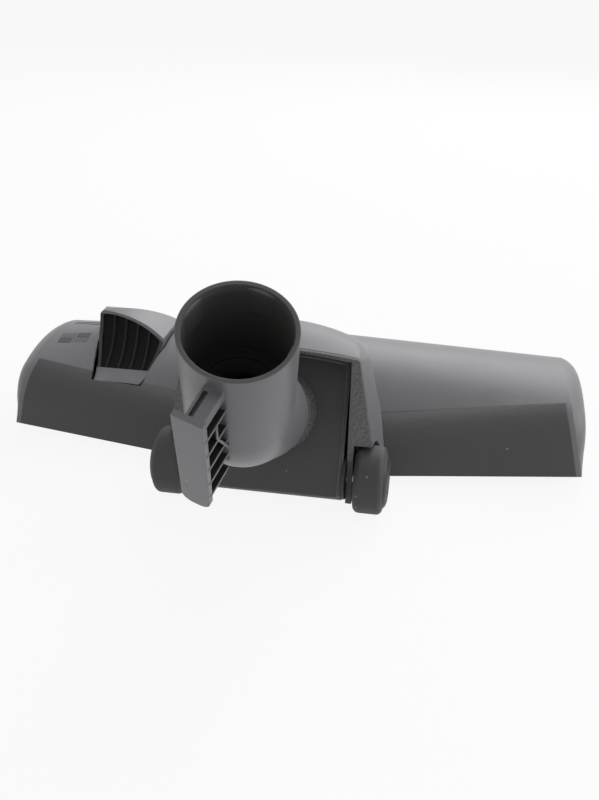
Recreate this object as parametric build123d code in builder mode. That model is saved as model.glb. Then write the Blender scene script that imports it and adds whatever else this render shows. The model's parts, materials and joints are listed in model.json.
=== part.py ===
from build123d import *
from math import cos, radians, sin, sqrt
import os

# Vacuum floor head: X runs along the head, +Y to its front, +Z up, floor at Z = 0.
# Sizes in millimetres, angles in degrees.

# Head shell
head_width = 270.0          # at the lower edge of the end faces
skirt_height = 4.7          # lower edge of the shell above the floor
shell_wall = 2.2
end_lean = 14.6             # lean of the wing ends off the vertical
cap_lean = (8.0, 2.5)       # lean of the end cap sections outside them
cap_inset = (2.2, 8.0)      # outline of the cap sections inside the wing end
cap_step = 0.4              # cap sections apart at the lower edge

# Wing section at the sloping end faces, as (Y, Z)
tip_skirt_y = -42.0
tip_toe_y = 40.0
tip_heel = (-42.0, 14.0)
tip_shoulder = (-37.4, 29.5)
tip_ridge = (-29.4, 34.6)
tip_crown = (-3.0, 38.9)
tip_brow = (24.0, 33.1)
tip_nose = (36.5, 21.0)

# Wing section in the middle plane, as (Y, Z)
mid_skirt_y = -66.3
mid_toe_y = 45.0
mid_heel = (-63.0, 8.5)
mid_shoulder = (-53.5, 16.8)
mid_ridge = (-40.8, 20.7)
mid_crown = (-3.0, 41.5)
mid_brow = (26.0, 36.6)
mid_nose = (41.5, 23.0)

# Rear wheels and their axle, which is also the tilt axis
wheel_radius = 14.5
wheel_width = 12.4
wheel_gap = 1.0             # wheel to bracket leg
arch_gap = 1.8              # wheel to wheel arch
arch_wall = 2.4
hub_radius = 10.4           # hard hub inside the soft tyre
tyre_round = 2.6
hub_dish = 2.4
hub_rim = 1.2
axle_radius = 2.5
axle_head_radius = 4.4
axle_head = 1.6
axle_grip = 12.0            # axle length inside the cradle hub
running_fit = 0.05
axle_y = -77.4
axle_z = wheel_radius

# Tilting cradle: a crowned barrel about the axle with a leaning rear face
cradle_width = 63.0
cradle_wall = 2.2
barrel_radius = 51.2
barrel_crown = 2.2          # fall of the barrel from its middle to its sides
barrel_front = 30.0         # angle of the barrel's front edge above the horizontal
barrel_back = 128.0         # angle that the barrel blank runs back to
barrel_open = 5.0           # hollow of the barrel past its front edge
cradle_hub_radius = 10.0
face_lean = 25.5
face_back = 5.0             # rear face behind the axle
face_thickness = 2.6
lip_height = 1.1
lip_width = 1.6
side_gap = 1.5              # cradle to bracket legs
hub_gap = 1.6               # cradle hub to the parts round it
leg_wall = 2.6

# Swivel elbow and connection tube
swivel_rise = 26.0          # swivel axis above the axle, measured along the face
tube_radius = 19.1
neck_radius = 15.2          # neck through the collar
neck_bare = 30.0            # face to the full tube
socket_radius = 17.5        # takes a 35 mm suction tube
socket_depth = 34.0
duct_radius = 13.2
bend_radius = 28.0
neck_run = 65.6             # face to bend point
tube_run = 50.6             # bend point to mouth
elbow_bend = 34.0           # tube against the swivel axis
swivel_rest = 13.2          # swivel angle at rest, mouth towards +X
neck_inside = 7.0           # neck length behind the face
swivel_gap = 0.3
collar_width = 5.0
collar_radius = 18.3        # at the face
collar_top = 16.3           # at the outer end
clip_width = 2.0
clip_radius = 17.8
seal_width = 1.6
groove_radius = 14.3

# Parking hook on the tube
hook_turn = 6.0             # round the tube from its rear side
hook_length = 62.6
hook_stand = 10.8           # flange above the tube
hook_width = 10.8
hook_thickness = 2.2
hook_web = 2.4
hook_rib = 1.1
hook_rib_reach = 5.6
hook_rib_count = 6
hook_corner = 4.5
hook_top = 5.6              # hook below the tube mouth
hook_top_width = 6.4
hook_top_shift = 1.6        # top block towards the ribs
hook_groove = 1.6           # groove along the hook's top block

# Hood over the cradle
frame_gap = 4.2             # barrel to the frame above it
frame_band = 2.0            # frame above that gap
frame_depth = 6.0
rim_depth = 1.2             # rear rim of the frame, flush with the hood
frame_lean = 4.0
frame_back = 3.9            # frame behind the axle at the floor
hood_side = 11.4            # hood foot outside the bracket leg
ridge_cut = 25.0            # tilt of the parting face under the ridge

# Share of the wall that the (Y, Z) points of a wing section move inwards
shoulder_share = (0.6, 0.8)
ridge_share = (0.4, 0.92)
nose_share = (0.9, 0.44)

# Hood sections: distance ahead of the axle, rise over the frame top, shoulder outside the leg,
# fall of the shoulder, spread of the foot and shoulder radius
hood_sections = (
    (-8.0, -2.4, -0.1, 3.0, 1.4, 2.0),
    (5.4, 0.0, 1.0, 3.0, 1.4, 3.5),
    (22.4, 1.7, 1.9, 7.0, 1.5, 13.0),
    (47.4, -9.2, -1.6, 9.0, 1.0, 15.0),
    (77.4, -24.3, -5.6, 6.0, -1.0, 14.0),
    (103.4, -36.8, -9.6, 3.0, -4.0, 10.0),
)

# Foot pedal (rocker) on one wing
pedal_inset = 52.0          # pedal middle inside the end of the head
pedal_width = 33.0
pedal_taper = (5.0, 5.5)    # narrowing at the tail, outer and inner side
pedal_gap = 0.9
pedal_axis_y = -8.0
pedal_axis_z = 27.0
pedal_tail_y = -36.0
pedal_radius = 26.2         # drum of the front half about the pedal axis
pedal_tail_z = 28.5
pedal_tail = 3.0
pedal_swing = 20.0
pedal_pin_radius = 1.75
pedal_crest = 90.0          # crest angle above the horizontal
pedal_nose = 8.0
pedal_low = 5.5             # lower edge under the pedal axis
pedal_wall = 2.0
pedal_web = 4.0
pedal_rim = 1.5
scoop_sag = 6.6
crest_fall = 11.0
crest_corner = 2.4
corner_share = 0.3          # middle point of the rounded crest corner
crest_share = 0.25          # middle point of the falling crest
pad_start = 0.26
pad_end = 0.955
pin_inset = 0.4
pad_thickness = 1.4
pad_rib = 1.0
pad_rib_height = 1.1
pad_rib_count = 4
arm_reach = 18.4
arm_pin_radius = 1.8

# Sole, brushes and inside
sole_thickness = 1.0
tray_height = 7.0
sole_margin = 7.0
mouth_margin = 31.0         # mouth ends inside the ends of the head
mouth_half_depth = 9.0
lifter_depth = 5.0
lifter_gap = 1.5
brush_y = 28.0
brush_overrun = 8.0         # brushes past the mouth ends
bristle_depth = 5.0
brush_slot_play = 1.5
carrier_thickness = 3.0
carrier_rest_z = 14.0
tuft_pitch = 5.0
tuft_length = 3.4
bristle_clear = 1.0
backing_height = 3.5
guide_radius = 2.5
guide_fit = 0.3
screw_head_radius = 3.4
screw_head = 1.6
screw_radius = 1.5
boss_radius = 3.6
pilot_depth = 9.0
fit_gap = 0.3               # still pieces that face each other
leg_foot = 3.6              # bracket legs above the floor
leg_gap = 3.0               # bracket legs behind the brush carrier
carrier_margin = 6.0
tray_taper = 5.0
slot_corner = 2.5
sole_corner = 5.0
lifter_clear = 0.1
screw_sink = 0.4
carrier_inner = 3.5
post_thickness = 3.0
post_head = 4.2
post_inset = 1.5
tower_gap = 1.0
tower_thickness = 3.0
tower_half = 4.2
slot_run = 1.6
screw_inset = 7.0           # outer screws inside the brush ends
screw_y = 19.0
guide_gap = 6.0             # guide posts outside the brush ends
guide_y = 14.0

# Values that follow
half_width = head_width / 2
mouth_half_length = half_width - mouth_margin
brush_half_length = mouth_half_length + brush_overrun
screw_outer = brush_half_length - screw_inset
screw_x = (screw_outer / 2, screw_outer)
guide_x = brush_half_length + guide_gap
pedal_x = pedal_inset - half_width
cradle_half = cradle_width / 2
well_half = cradle_half + side_gap
leg_out = well_half + leg_wall
wheel_in = leg_out + wheel_gap
wheel_out = wheel_in + wheel_width
tilt_axis = Axis((0, axle_y, axle_z), (1, 0, 0))
lean_cos = cos(radians(end_lean))
cap_reach = len(cap_lean) * cap_step
hood_top = axle_z + barrel_radius + frame_gap + frame_band
hood_foot = leg_out + hood_side
face_dir = Vector(0, sin(radians(face_lean)), cos(radians(face_lean)))
swivel_dir = Vector(0, -cos(radians(face_lean)), sin(radians(face_lean)))
face_centre = Vector(0, axle_y, axle_z) + swivel_dir * face_back + face_dir * swivel_rise
lean_dir = face_dir * cos(radians(swivel_rest)) + Vector(1, 0, 0) * sin(radians(swivel_rest))
tube_dir = swivel_dir * cos(radians(elbow_bend)) + lean_dir * sin(radians(elbow_bend))
face_plane = Plane(origin=face_centre, x_dir=(1, 0, 0), z_dir=swivel_dir)
bend_point = face_centre + swivel_dir * neck_run
mouth = bend_point + tube_dir * tube_run
pedal_left = pedal_x - pedal_width / 2
pedal_right = pedal_x + pedal_width / 2
post_left = pedal_left + pedal_wall + pedal_gap + post_thickness / 2
post_right = pedal_right - pedal_wall - pedal_gap - post_thickness / 2


def end_plane(side, inset, lean=end_lean, step=0):
    """Sloping plane across a wing end, moved inwards by inset and outwards by step."""
    turn = radians(lean)
    origin = (side * (half_width - cap_reach + step - inset / cos(turn)), 0, skirt_height)
    return Plane(origin=origin, x_dir=(0, 1, 0), z_dir=(cos(turn), 0, side * sin(turn)))


def wing_section(plane, points, skirt_y, toe_y, inset, drop, base, stretch):
    """Wing section on a plane: rear wall, rolled shoulder, crowned top and nose."""
    heel, shoulder, ridge, crown, brow, nose = points

    def place(y, z):
        return (y, (z - base) * stretch)

    foot = skirt_height - drop
    a = place(skirt_y + inset, foot)
    b = place(heel[0] + inset, heel[1])
    c = place(shoulder[0] + shoulder_share[0] * inset, shoulder[1] - shoulder_share[1] * inset)
    d = place(ridge[0] + ridge_share[0] * inset, ridge[1] - ridge_share[1] * inset)
    e = place(crown[0], crown[1] - inset)
    f = place(brow[0] - ridge_share[0] * inset, brow[1] - ridge_share[1] * inset)
    g = place(nose[0] - nose_share[0] * inset, nose[1] - nose_share[1] * inset)
    h = place(toe_y - inset, foot)
    with BuildSketch(plane) as section:
        with BuildLine():
            Line(a, b)
            ThreePointArc(b, c, d)
            ThreePointArc(d, e, f)
            ThreePointArc(f, g, h)
            Line(h, a)
        make_face()
    return section.sketch


def tip_section(side, inset, drop, lean, step, draw):
    """Wing section across an end, drawn in by a further margin on the end cap."""
    plane = end_plane(side, inset, lean, step)
    stretch = 1 / cos(radians(lean))
    return wing_section(
        plane, tip_points, tip_skirt_y, tip_toe_y, inset + draw, drop, skirt_height, stretch
    )


def wing(inset, drop):
    """Both wings: a ruled body from the middle plane to the ends, with a rounded cap on each end."""
    middle = wing_section(Plane.YZ, mid_points, mid_skirt_y, mid_toe_y, inset, drop, 0, 1)
    for side in (-1, 1):
        tip = tip_section(side, inset, drop, end_lean, 0, 0)
        loft([tip, middle], ruled=True)
        caps = [tip]
        for index, (lean, draw) in enumerate(zip(cap_lean, cap_inset)):
            caps.append(tip_section(side, inset, drop, lean, (index + 1) * cap_step, draw))
        loft(caps)


def hood(inset, drop, mode):
    """Arched hood over the cradle, lofted through sections from rear to front."""
    sections = []
    for back, rise, half, fall, spread, corner in hood_sections:
        foot_half = hood_foot + spread - inset
        shoulder_half = leg_out + half - inset
        top = hood_top + rise - inset
        shoulder = top - fall
        with BuildSketch(Plane.XZ.offset(-(axle_y + back))) as section:
            with BuildLine():
                Line((-foot_half, skirt_height - drop), (foot_half, skirt_height - drop))
                Line((foot_half, skirt_height - drop), (shoulder_half, shoulder))
                ThreePointArc((shoulder_half, shoulder), (0, top), (-shoulder_half, shoulder))
                Line((-shoulder_half, shoulder), (-foot_half, skirt_height - drop))
            make_face()
            fillet(section.vertices().group_by(Axis.Y)[-1], radius=corner)
        sections.append(section.sketch)
    loft(sections, mode=mode)


def rear_zone(mode):
    """Space behind and below the ridge line, where the rear skirt takes over from the cover."""
    for side in (-1, 1):
        ends = []
        for plane, ridge, base, stretch in (
            (end_plane(side, shell_wall), tip_ridge, skirt_height, 1 / lean_cos),
            (Plane.YZ, mid_ridge, 0, 1),
        ):
            y = ridge[0]
            z = (ridge[1] - base) * stretch
            run = barrel_radius * sin(radians(ridge_cut))
            drop = barrel_radius * cos(radians(ridge_cut))
            far = 3 * barrel_radius
            with BuildSketch(plane) as zone:
                Polygon(
                    (y + run, z - drop),
                    (y - run, z + drop),
                    (y - far, z + drop),
                    (y - far, z - drop),
                    align=None,
                )
            ends.append(zone.sketch)
        loft(ends, ruled=True, mode=mode)


def axle_section(angle, half, rim, crown):
    """Half section of the barrel on a plane through the axle at an angle above +Y."""
    turn = radians(angle)
    plane = Plane(origin=(0, axle_y, axle_z), x_dir=(1, 0, 0), z_dir=(0, -sin(turn), cos(turn)))
    with BuildSketch(plane) as section:
        with BuildLine():
            Line((-half, 0), (half, 0))
            Line((half, 0), (half, rim - crown))
            ThreePointArc((half, rim - crown), (0, rim), (-half, rim - crown))
            Line((-half, rim - crown), (-half, 0))
        make_face()
    return section.sketch


def across(x0, x1, y, z, radius, mode):
    """Cylinder along X between two stations."""
    with Locations(Location((x0, y, z), (0, 90, 0))):
        Cylinder(radius, x1 - x0, align=(Align.CENTER, Align.CENTER, Align.MIN), mode=mode)


def wheel_space(mode):
    """Room for the wheels: the wheel circle, open to the rear and to the floor."""
    for side in (-1, 1):
        with BuildSketch(Plane.YZ.offset(side * leg_out)) as space:
            reach = wheel_radius + arch_gap
            with Locations((axle_y, axle_z)):
                Circle(reach)
            with Locations((axle_y, axle_z + reach)):
                Rectangle(3 * reach, 3 * reach, align=(Align.MAX, Align.MAX))
            with Locations((axle_y, axle_z)):
                Rectangle(2 * reach, 3 * reach, align=(Align.CENTER, Align.MAX))
        extrude(space.sketch, amount=side * 3 * wheel_width, mode=mode)


def pedal_plan(height, grow):
    """Plan of the pedal grown by a margin: straight in front, narrowing from the axis to the tail."""
    left = pedal_left - grow
    right = pedal_right + grow
    front = pedal_axis_y + pedal_radius + grow
    waist = pedal_axis_y - post_head
    tail = pedal_tail_y - grow
    with BuildSketch(Plane.XY.offset(height)) as plan:
        Polygon(
            (left, front),
            (left, waist),
            (left + pedal_taper[0], tail),
            (right - pedal_taper[1], tail),
            (right, waist),
            (right, front),
            align=None,
        )
    return plan.sketch


def pedal_space(mode):
    """Opening that the pedal rocks in, through the cover and over the ridge."""
    extrude(pedal_plan(pedal_tail_z - pedal_tail - pedal_gap, pedal_gap), amount=barrel_radius, mode=mode)


tip_points = (tip_heel, tip_shoulder, tip_ridge, tip_crown, tip_brow, tip_nose)
mid_points = (mid_heel, mid_shoulder, mid_ridge, mid_crown, mid_brow, mid_nose)
frame_plane = Plane(
    origin=(0, axle_y - frame_back, 0),
    x_dir=(1, 0, 0),
    z_dir=(0, -cos(radians(frame_lean)), sin(radians(frame_lean))),
)
screw_spots = [(side * x, y) for side in (-1, 1) for x in screw_x for y in (-screw_y, screw_y)]
guide_spots = [(side * guide_x, y) for side in (-1, 1) for y in (-guide_y, guide_y)]

# Outside and inside of the wings
with BuildPart() as wing_outside:
    wing(0, 0)

with BuildPart() as wing_inside:
    wing(shell_wall, shell_wall)

# Space behind the ridge line
with BuildPart() as rear_blank:
    rear_zone(Mode.ADD)

# Upper cover: wings, hood and end walls in one moulding, open below and behind
with BuildPart() as boss_blank:
    wing(shell_wall / 2, 0)
    with BuildSketch(Plane.XY.offset(tray_height)) as boss_plan:
        with Locations(*screw_spots):
            Circle(boss_radius)
    extrude(boss_plan.sketch, amount=barrel_radius, mode=Mode.INTERSECT)

with BuildPart() as hood_blank:
    hood(0, 0, Mode.ADD)
    split(bisect_by=frame_plane.offset(-rim_depth - fit_gap), keep=Keep.BOTTOM)

with BuildPart() as upper_cover:
    add(wing_outside.part)
    add(rear_blank.part, mode=Mode.SUBTRACT)
    add(hood_blank.part)
    add(wing_inside.part, mode=Mode.SUBTRACT)
    hood(shell_wall, shell_wall, Mode.SUBTRACT)
    wheel_space(Mode.SUBTRACT)
    pedal_space(Mode.SUBTRACT)
    add(boss_blank.part)
    with BuildSketch(Plane.XY.offset(tray_height)) as pilot_plan:
        with Locations(*screw_spots):
            Circle(screw_radius)
    extrude(pilot_plan.sketch, amount=pilot_depth, mode=Mode.SUBTRACT)
upper_cover.part.label = "upper_cover"


# Wall of the hood where it stands clear of the wings
with BuildPart() as hood_shell:
    hood(0, 0, Mode.ADD)
    hood(shell_wall + fit_gap, shell_wall, Mode.SUBTRACT)
    add(wing_inside.part, mode=Mode.SUBTRACT)

# Rear frame round the cradle: a rim behind the hood edge, with a leg on each side
with BuildPart() as rim_blank:
    hood(0, skirt_height - leg_foot, Mode.ADD)
    split(bisect_by=frame_plane, keep=Keep.BOTTOM)
    split(bisect_by=frame_plane.offset(-rim_depth), keep=Keep.TOP)
    well_section = axle_section(0, well_half, barrel_radius + frame_gap, barrel_crown)
    revolve(well_section, axis=tilt_axis, mode=Mode.SUBTRACT)

with BuildPart() as frame_blank:
    hood(shell_wall + fit_gap, skirt_height - leg_foot, Mode.ADD)
    split(bisect_by=frame_plane, keep=Keep.BOTTOM)
    split(bisect_by=frame_plane.offset(-frame_depth), keep=Keep.TOP)
    with BuildSketch(Plane.XY.offset(axle_z)) as well_plan:
        with Locations((0, axle_y)):
            Rectangle(2 * well_half, 2 * barrel_radius)
    extrude(well_plan.sketch, amount=2 * barrel_radius, mode=Mode.SUBTRACT)
    add(rim_blank.part)
    extrude(well_plan.sketch, amount=-2 * barrel_radius, mode=Mode.SUBTRACT)
    wheel_space(Mode.SUBTRACT)

# Side walls of the cradle well, which carry the axles
with BuildPart() as leg_blank:
    hood(shell_wall + fit_gap, skirt_height - leg_foot, Mode.ADD)
    split(bisect_by=frame_plane, keep=Keep.BOTTOM)
    with BuildSketch(Plane.XY) as leg_plan:
        with Locations((0, -(brush_y + carrier_margin + leg_gap))):
            Rectangle(2 * leg_out, 2 * barrel_radius, align=(Align.CENTER, Align.MAX))
            Rectangle(
                2 * well_half,
                2 * barrel_radius,
                align=(Align.CENTER, Align.MAX),
                mode=Mode.SUBTRACT,
            )
    extrude(leg_plan.sketch, amount=2 * barrel_radius, mode=Mode.INTERSECT)

# Wheel arches between the legs and the hood
with BuildPart() as arch_blank:
    hood(shell_wall + fit_gap, skirt_height - leg_foot, Mode.ADD)
    split(bisect_by=frame_plane, keep=Keep.BOTTOM)
    with BuildSketch(Plane.XY.offset(leg_foot)) as arch_plan:
        with Locations((0, axle_y + wheel_radius + arch_gap + arch_wall)):
            Rectangle(4 * wheel_out, 2 * barrel_radius, align=(Align.CENTER, Align.MAX))
            Rectangle(
                2 * leg_out - leg_wall,
                2 * barrel_radius,
                align=(Align.CENTER, Align.MAX),
                mode=Mode.SUBTRACT,
            )
    arch_top = axle_z + wheel_radius + arch_gap + arch_wall
    extrude(arch_plan.sketch, amount=arch_top - leg_foot, mode=Mode.INTERSECT)
    wheel_space(Mode.SUBTRACT)


def tray_section(plane, points, skirt_y, toe_y, base, stretch):
    """Tray section with its lower edges drawn in to the sole."""
    heel = points[0]
    lap = shell_wall / 2
    slope = (heel[0] - skirt_y) / (heel[1] - skirt_height)
    rear = skirt_y + lap
    front = toe_y - shell_wall - fit_gap
    low = (sole_thickness - base) * stretch
    edge = (skirt_height - base) * stretch
    high = (tray_height - base) * stretch
    with BuildSketch(plane) as section:
        Polygon(
            (rear + slope * (tray_height - skirt_height), high),
            (rear, edge),
            (rear + tray_taper, low),
            (front - tray_taper, low),
            (front, edge),
            (front, high),
            align=None,
        )
    return section.sketch


def slot_plan(half_length, half_depth, y):
    """Long slot with round corners, seen from above."""
    with BuildSketch(Plane.XY) as plan:
        with Locations((0, y)):
            RectangleRounded(2 * half_length, 2 * half_depth, slot_corner)
    return plan.sketch


def floor_slots(mode):
    """Suction mouth and the two brush slots, cut from below."""
    slot_half = bristle_depth / 2 + brush_slot_play
    extrude(slot_plan(mouth_half_length, mouth_half_depth, 0), amount=tray_height, mode=mode)
    for y in (-brush_y, brush_y):
        extrude(slot_plan(brush_half_length + brush_slot_play, slot_half, y), amount=tray_height, mode=mode)


# Lower body: rear skirts, frame, legs, arches and the tray that carries the sole
with BuildPart() as lower_body:
    add(wing_outside.part)
    add(rear_blank.part, mode=Mode.INTERSECT)
    add(wing_inside.part, mode=Mode.SUBTRACT)
    hood(0, 0, Mode.SUBTRACT)
    middle = tray_section(Plane.YZ, mid_points, mid_skirt_y, mid_toe_y, 0, 1)
    for side in (-1, 1):
        plane = end_plane(side, shell_wall + fit_gap)
        tip = tray_section(plane, tip_points, tip_skirt_y, tip_toe_y, skirt_height, 1 / lean_cos)
        loft([tip, middle], ruled=True)
    floor_slots(Mode.SUBTRACT)
    add(hood_shell.part, mode=Mode.SUBTRACT)
    add(frame_blank.part)
    add(leg_blank.part)
    add(arch_blank.part)
    across(-well_half, well_half, axle_y, axle_z, cradle_hub_radius + hub_gap, Mode.SUBTRACT)
    across(-leg_out, leg_out, axle_y, axle_z, axle_radius, Mode.SUBTRACT)
    pedal_space(Mode.SUBTRACT)
    for x in (post_left, post_right):
        with BuildSketch(Plane.YZ.offset(x - post_thickness / 2)) as post:
            with Locations((pedal_axis_y, pedal_axis_z)):
                Circle(post_head)
            with BuildLine():
                Polyline(
                    (-mouth_half_depth - post_inset, tray_height - fit_gap),
                    (pedal_axis_y + post_head, pedal_axis_z),
                    (pedal_axis_y - post_head, pedal_axis_z),
                    (-mouth_half_depth - post_inset - 2 * post_head, tray_height - fit_gap),
                    close=True,
                )
            make_face()
            with Locations((pedal_axis_y, pedal_axis_z)):
                Circle(pedal_pin_radius, mode=Mode.SUBTRACT)
        extrude(post.sketch, amount=post_thickness)
    with BuildSketch(Plane.XY.offset(tray_height - fit_gap)) as guide_plan:
        with Locations(*guide_spots):
            Circle(guide_radius)
    extrude(guide_plan.sketch, amount=carrier_rest_z + 2 * carrier_thickness - tray_height)
    with BuildSketch(Plane.XY) as screw_plan:
        with Locations(*screw_spots):
            Circle(screw_radius)
    extrude(screw_plan.sketch, amount=tray_height, mode=Mode.SUBTRACT)
    with BuildSketch(Plane.XY) as head_plan:
        with Locations(*screw_spots):
            Circle(screw_head_radius)
    extrude(head_plan.sketch, amount=screw_sink + screw_head, mode=Mode.SUBTRACT)
lower_body.part.label = "lower_body"

# Steel sole plate with the mouth, brush slots and lifter grooves
lifter_y = mouth_half_depth + lifter_gap + lifter_depth / 2
with BuildPart() as sole_plate:
    with BuildSketch(Plane.XY) as sole_plan:
        x = half_width - sole_margin
        sweep_back = tip_skirt_y + (mid_skirt_y - tip_skirt_y) * (1 - hood_foot / half_width)
        Polygon(
            (x, tip_skirt_y + sole_margin),
            (hood_foot, sweep_back + sole_margin),
            (-hood_foot, sweep_back + sole_margin),
            (-x, tip_skirt_y + sole_margin),
            (-x, tip_toe_y - sole_margin),
            (0, mid_toe_y - sole_margin),
            (x, tip_toe_y - sole_margin),
            align=None,
        )
        fillet(sole_plan.vertices(), radius=sole_corner)
        with Locations(*screw_spots):
            Circle(screw_head_radius + fit_gap, mode=Mode.SUBTRACT)
        for y in (-lifter_y, lifter_y):
            with Locations((0, y)):
                Rectangle(2 * (mouth_half_length + fit_gap), lifter_depth + 2 * fit_gap, mode=Mode.SUBTRACT)
    extrude(amount=sole_thickness)
    floor_slots(Mode.SUBTRACT)
    across(-well_half, well_half, axle_y, axle_z, cradle_hub_radius + hub_gap, Mode.SUBTRACT)
    chamfer(sole_plate.faces().sort_by(Axis.Z)[0].outer_wire().edges(), length=sole_thickness / 2)
sole_plate.part.label = "sole_plate"

# Fabric thread lifters beside the mouth
lifters = {}
for name, y in (("front_thread_lifter", lifter_y), ("rear_thread_lifter", -lifter_y)):
    with BuildPart() as lifter:
        with BuildSketch(Plane.XY.offset(sole_thickness)):
            with Locations((0, y)):
                Rectangle(2 * mouth_half_length, lifter_depth)
        extrude(amount=-(sole_thickness - lifter_clear))
    lifter.part.label = name
    lifters[name] = lifter.part

# Screws from below through the sole into the cover bosses
with BuildPart() as housing_screws:
    with BuildSketch(Plane.XY.offset(screw_sink)) as heads:
        with Locations(*screw_spots):
            Circle(screw_head_radius)
    extrude(heads.sketch, amount=screw_head)
    with BuildSketch(Plane.XY.offset(screw_sink)) as shanks:
        with Locations(*screw_spots):
            Circle(screw_radius)
    extrude(shanks.sketch, amount=tray_height + pilot_depth - 2 * screw_sink)
housing_screws.part.label = "housing_screws"

# Brush carrier: an open frame on four guide posts, with the slotted drive tower
drive_y = pedal_axis_y + arm_reach * cos(radians(pedal_swing / 2))
drive_z = pedal_axis_z + arm_reach * sin(radians(pedal_swing / 2))
tower_x = pedal_x + pedal_web / 2 + tower_gap
with BuildPart() as brush_carrier:
    with BuildSketch(Plane.XY.offset(carrier_rest_z)) as carrier_plan:
        RectangleRounded(2 * (guide_x + carrier_margin), 2 * (brush_y + carrier_margin), slot_corner)
        RectangleRounded(
            2 * (brush_half_length - fit_gap),
            2 * (brush_y - carrier_inner),
            slot_corner,
            mode=Mode.SUBTRACT,
        )
        with Locations(*guide_spots):
            Circle(guide_radius + guide_fit, mode=Mode.SUBTRACT)
        with Locations((tower_x, drive_y - tower_half)):
            Rectangle(tower_thickness, brush_y - drive_y + tower_half, align=(Align.MIN, Align.MIN))
    extrude(carrier_plan.sketch, amount=carrier_thickness)
    with BuildSketch(Plane.YZ.offset(tower_x)) as tower:
        with Locations((drive_y, carrier_rest_z)):
            Rectangle(2 * tower_half, drive_z + tower_half - carrier_rest_z, align=(Align.CENTER, Align.MIN))
        with Locations((drive_y, drive_z)):
            SlotCenterToCenter(slot_run, 2 * (arm_pin_radius + swivel_gap), mode=Mode.SUBTRACT)
    extrude(tower.sketch, amount=tower_thickness)
brush_carrier.part.label = "brush_carrier"

# Bristle strips: a backing rail with rows of tufts
brushes = {}
tuft_count = int((2 * brush_half_length - tuft_length) // tuft_pitch) + 1
for name, y in (("front_brush", brush_y), ("rear_brush", -brush_y)):
    with BuildPart() as brush:
        with BuildSketch(Plane.XY.offset(carrier_rest_z)) as rail:
            with Locations((0, y)):
                Rectangle(2 * brush_half_length, bristle_depth)
        extrude(rail.sketch, amount=-backing_height)
        with BuildSketch(Plane.XY.offset(bristle_clear)) as tufts:
            with Locations((0, y)):
                with GridLocations(tuft_pitch, 0, tuft_count, 1):
                    Rectangle(tuft_length, bristle_depth)
        extrude(tufts.sketch, amount=carrier_rest_z - backing_height - bristle_clear)
    brush.part.label = name
    brushes[name] = brush.part

# Cradle: crowned barrel, side cheeks, axle hub and a flat rear face inside a raised lip
with BuildPart() as cradle_hollow:
    start = barrel_front - barrel_open
    inside = axle_section(start, cradle_half - cradle_wall, barrel_radius - cradle_wall, barrel_crown)
    revolve(inside, axis=tilt_axis, revolution_arc=barrel_back - start)
    across(-cradle_half, cradle_half, axle_y, axle_z, cradle_hub_radius, Mode.SUBTRACT)
    split(bisect_by=face_plane.offset(-face_thickness), keep=Keep.BOTTOM)

with BuildPart() as cradle:
    blank = axle_section(barrel_front, cradle_half, barrel_radius, barrel_crown)
    revolve(blank, axis=tilt_axis, revolution_arc=barrel_back - barrel_front)
    across(-cradle_half, cradle_half, axle_y, axle_z, cradle_hub_radius, Mode.ADD)
    split(bisect_by=face_plane.offset(lip_height), keep=Keep.BOTTOM)
    add(cradle_hollow.part, mode=Mode.SUBTRACT)
    lip_side = cradle_half - lip_width
    lip_top = sqrt((barrel_radius - lip_width) ** 2 - face_back ** 2) - swivel_rise
    lip_low = sqrt((barrel_radius - barrel_crown - lip_width) ** 2 - face_back ** 2) - swivel_rise
    with BuildSketch(face_plane) as recess:
        with BuildLine():
            Line((-lip_side, lip_low), (-lip_side, -barrel_radius))
            Line((-lip_side, -barrel_radius), (lip_side, -barrel_radius))
            Line((lip_side, -barrel_radius), (lip_side, lip_low))
            ThreePointArc((lip_side, lip_low), (0, lip_top), (-lip_side, lip_low))
        make_face()
    extrude(recess.sketch, amount=2 * lip_height, mode=Mode.SUBTRACT)
    with BuildSketch(face_plane.offset(lip_height)) as neck_hole:
        Circle(neck_radius + swivel_gap)
    extrude(neck_hole.sketch, amount=-(neck_inside + lip_height + face_thickness), mode=Mode.SUBTRACT)
    with BuildSketch(face_plane.offset(-face_thickness)) as clip_room:
        Circle(clip_radius + swivel_gap)
    extrude(clip_room.sketch, amount=-(neck_inside - face_thickness + swivel_gap), mode=Mode.SUBTRACT)
    across(-cradle_half, -cradle_half + axle_grip, axle_y, axle_z, axle_radius + running_fit, Mode.SUBTRACT)
    across(cradle_half - axle_grip, cradle_half, axle_y, axle_z, axle_radius + running_fit, Mode.SUBTRACT)
cradle.part.label = "cradle"

# Swivel collar seated on the cradle face
with BuildPart() as swivel_collar:
    with BuildSketch(face_plane) as collar_foot:
        Circle(collar_radius)
    with BuildSketch(face_plane.offset(collar_width)) as collar_end:
        Circle(collar_top)
    loft([collar_foot.sketch, collar_end.sketch])
    with BuildSketch(face_plane) as collar_bore:
        Circle(neck_radius + swivel_gap)
    extrude(collar_bore.sketch, amount=collar_width, mode=Mode.SUBTRACT)
swivel_collar.part.label = "swivel_collar"

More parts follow.
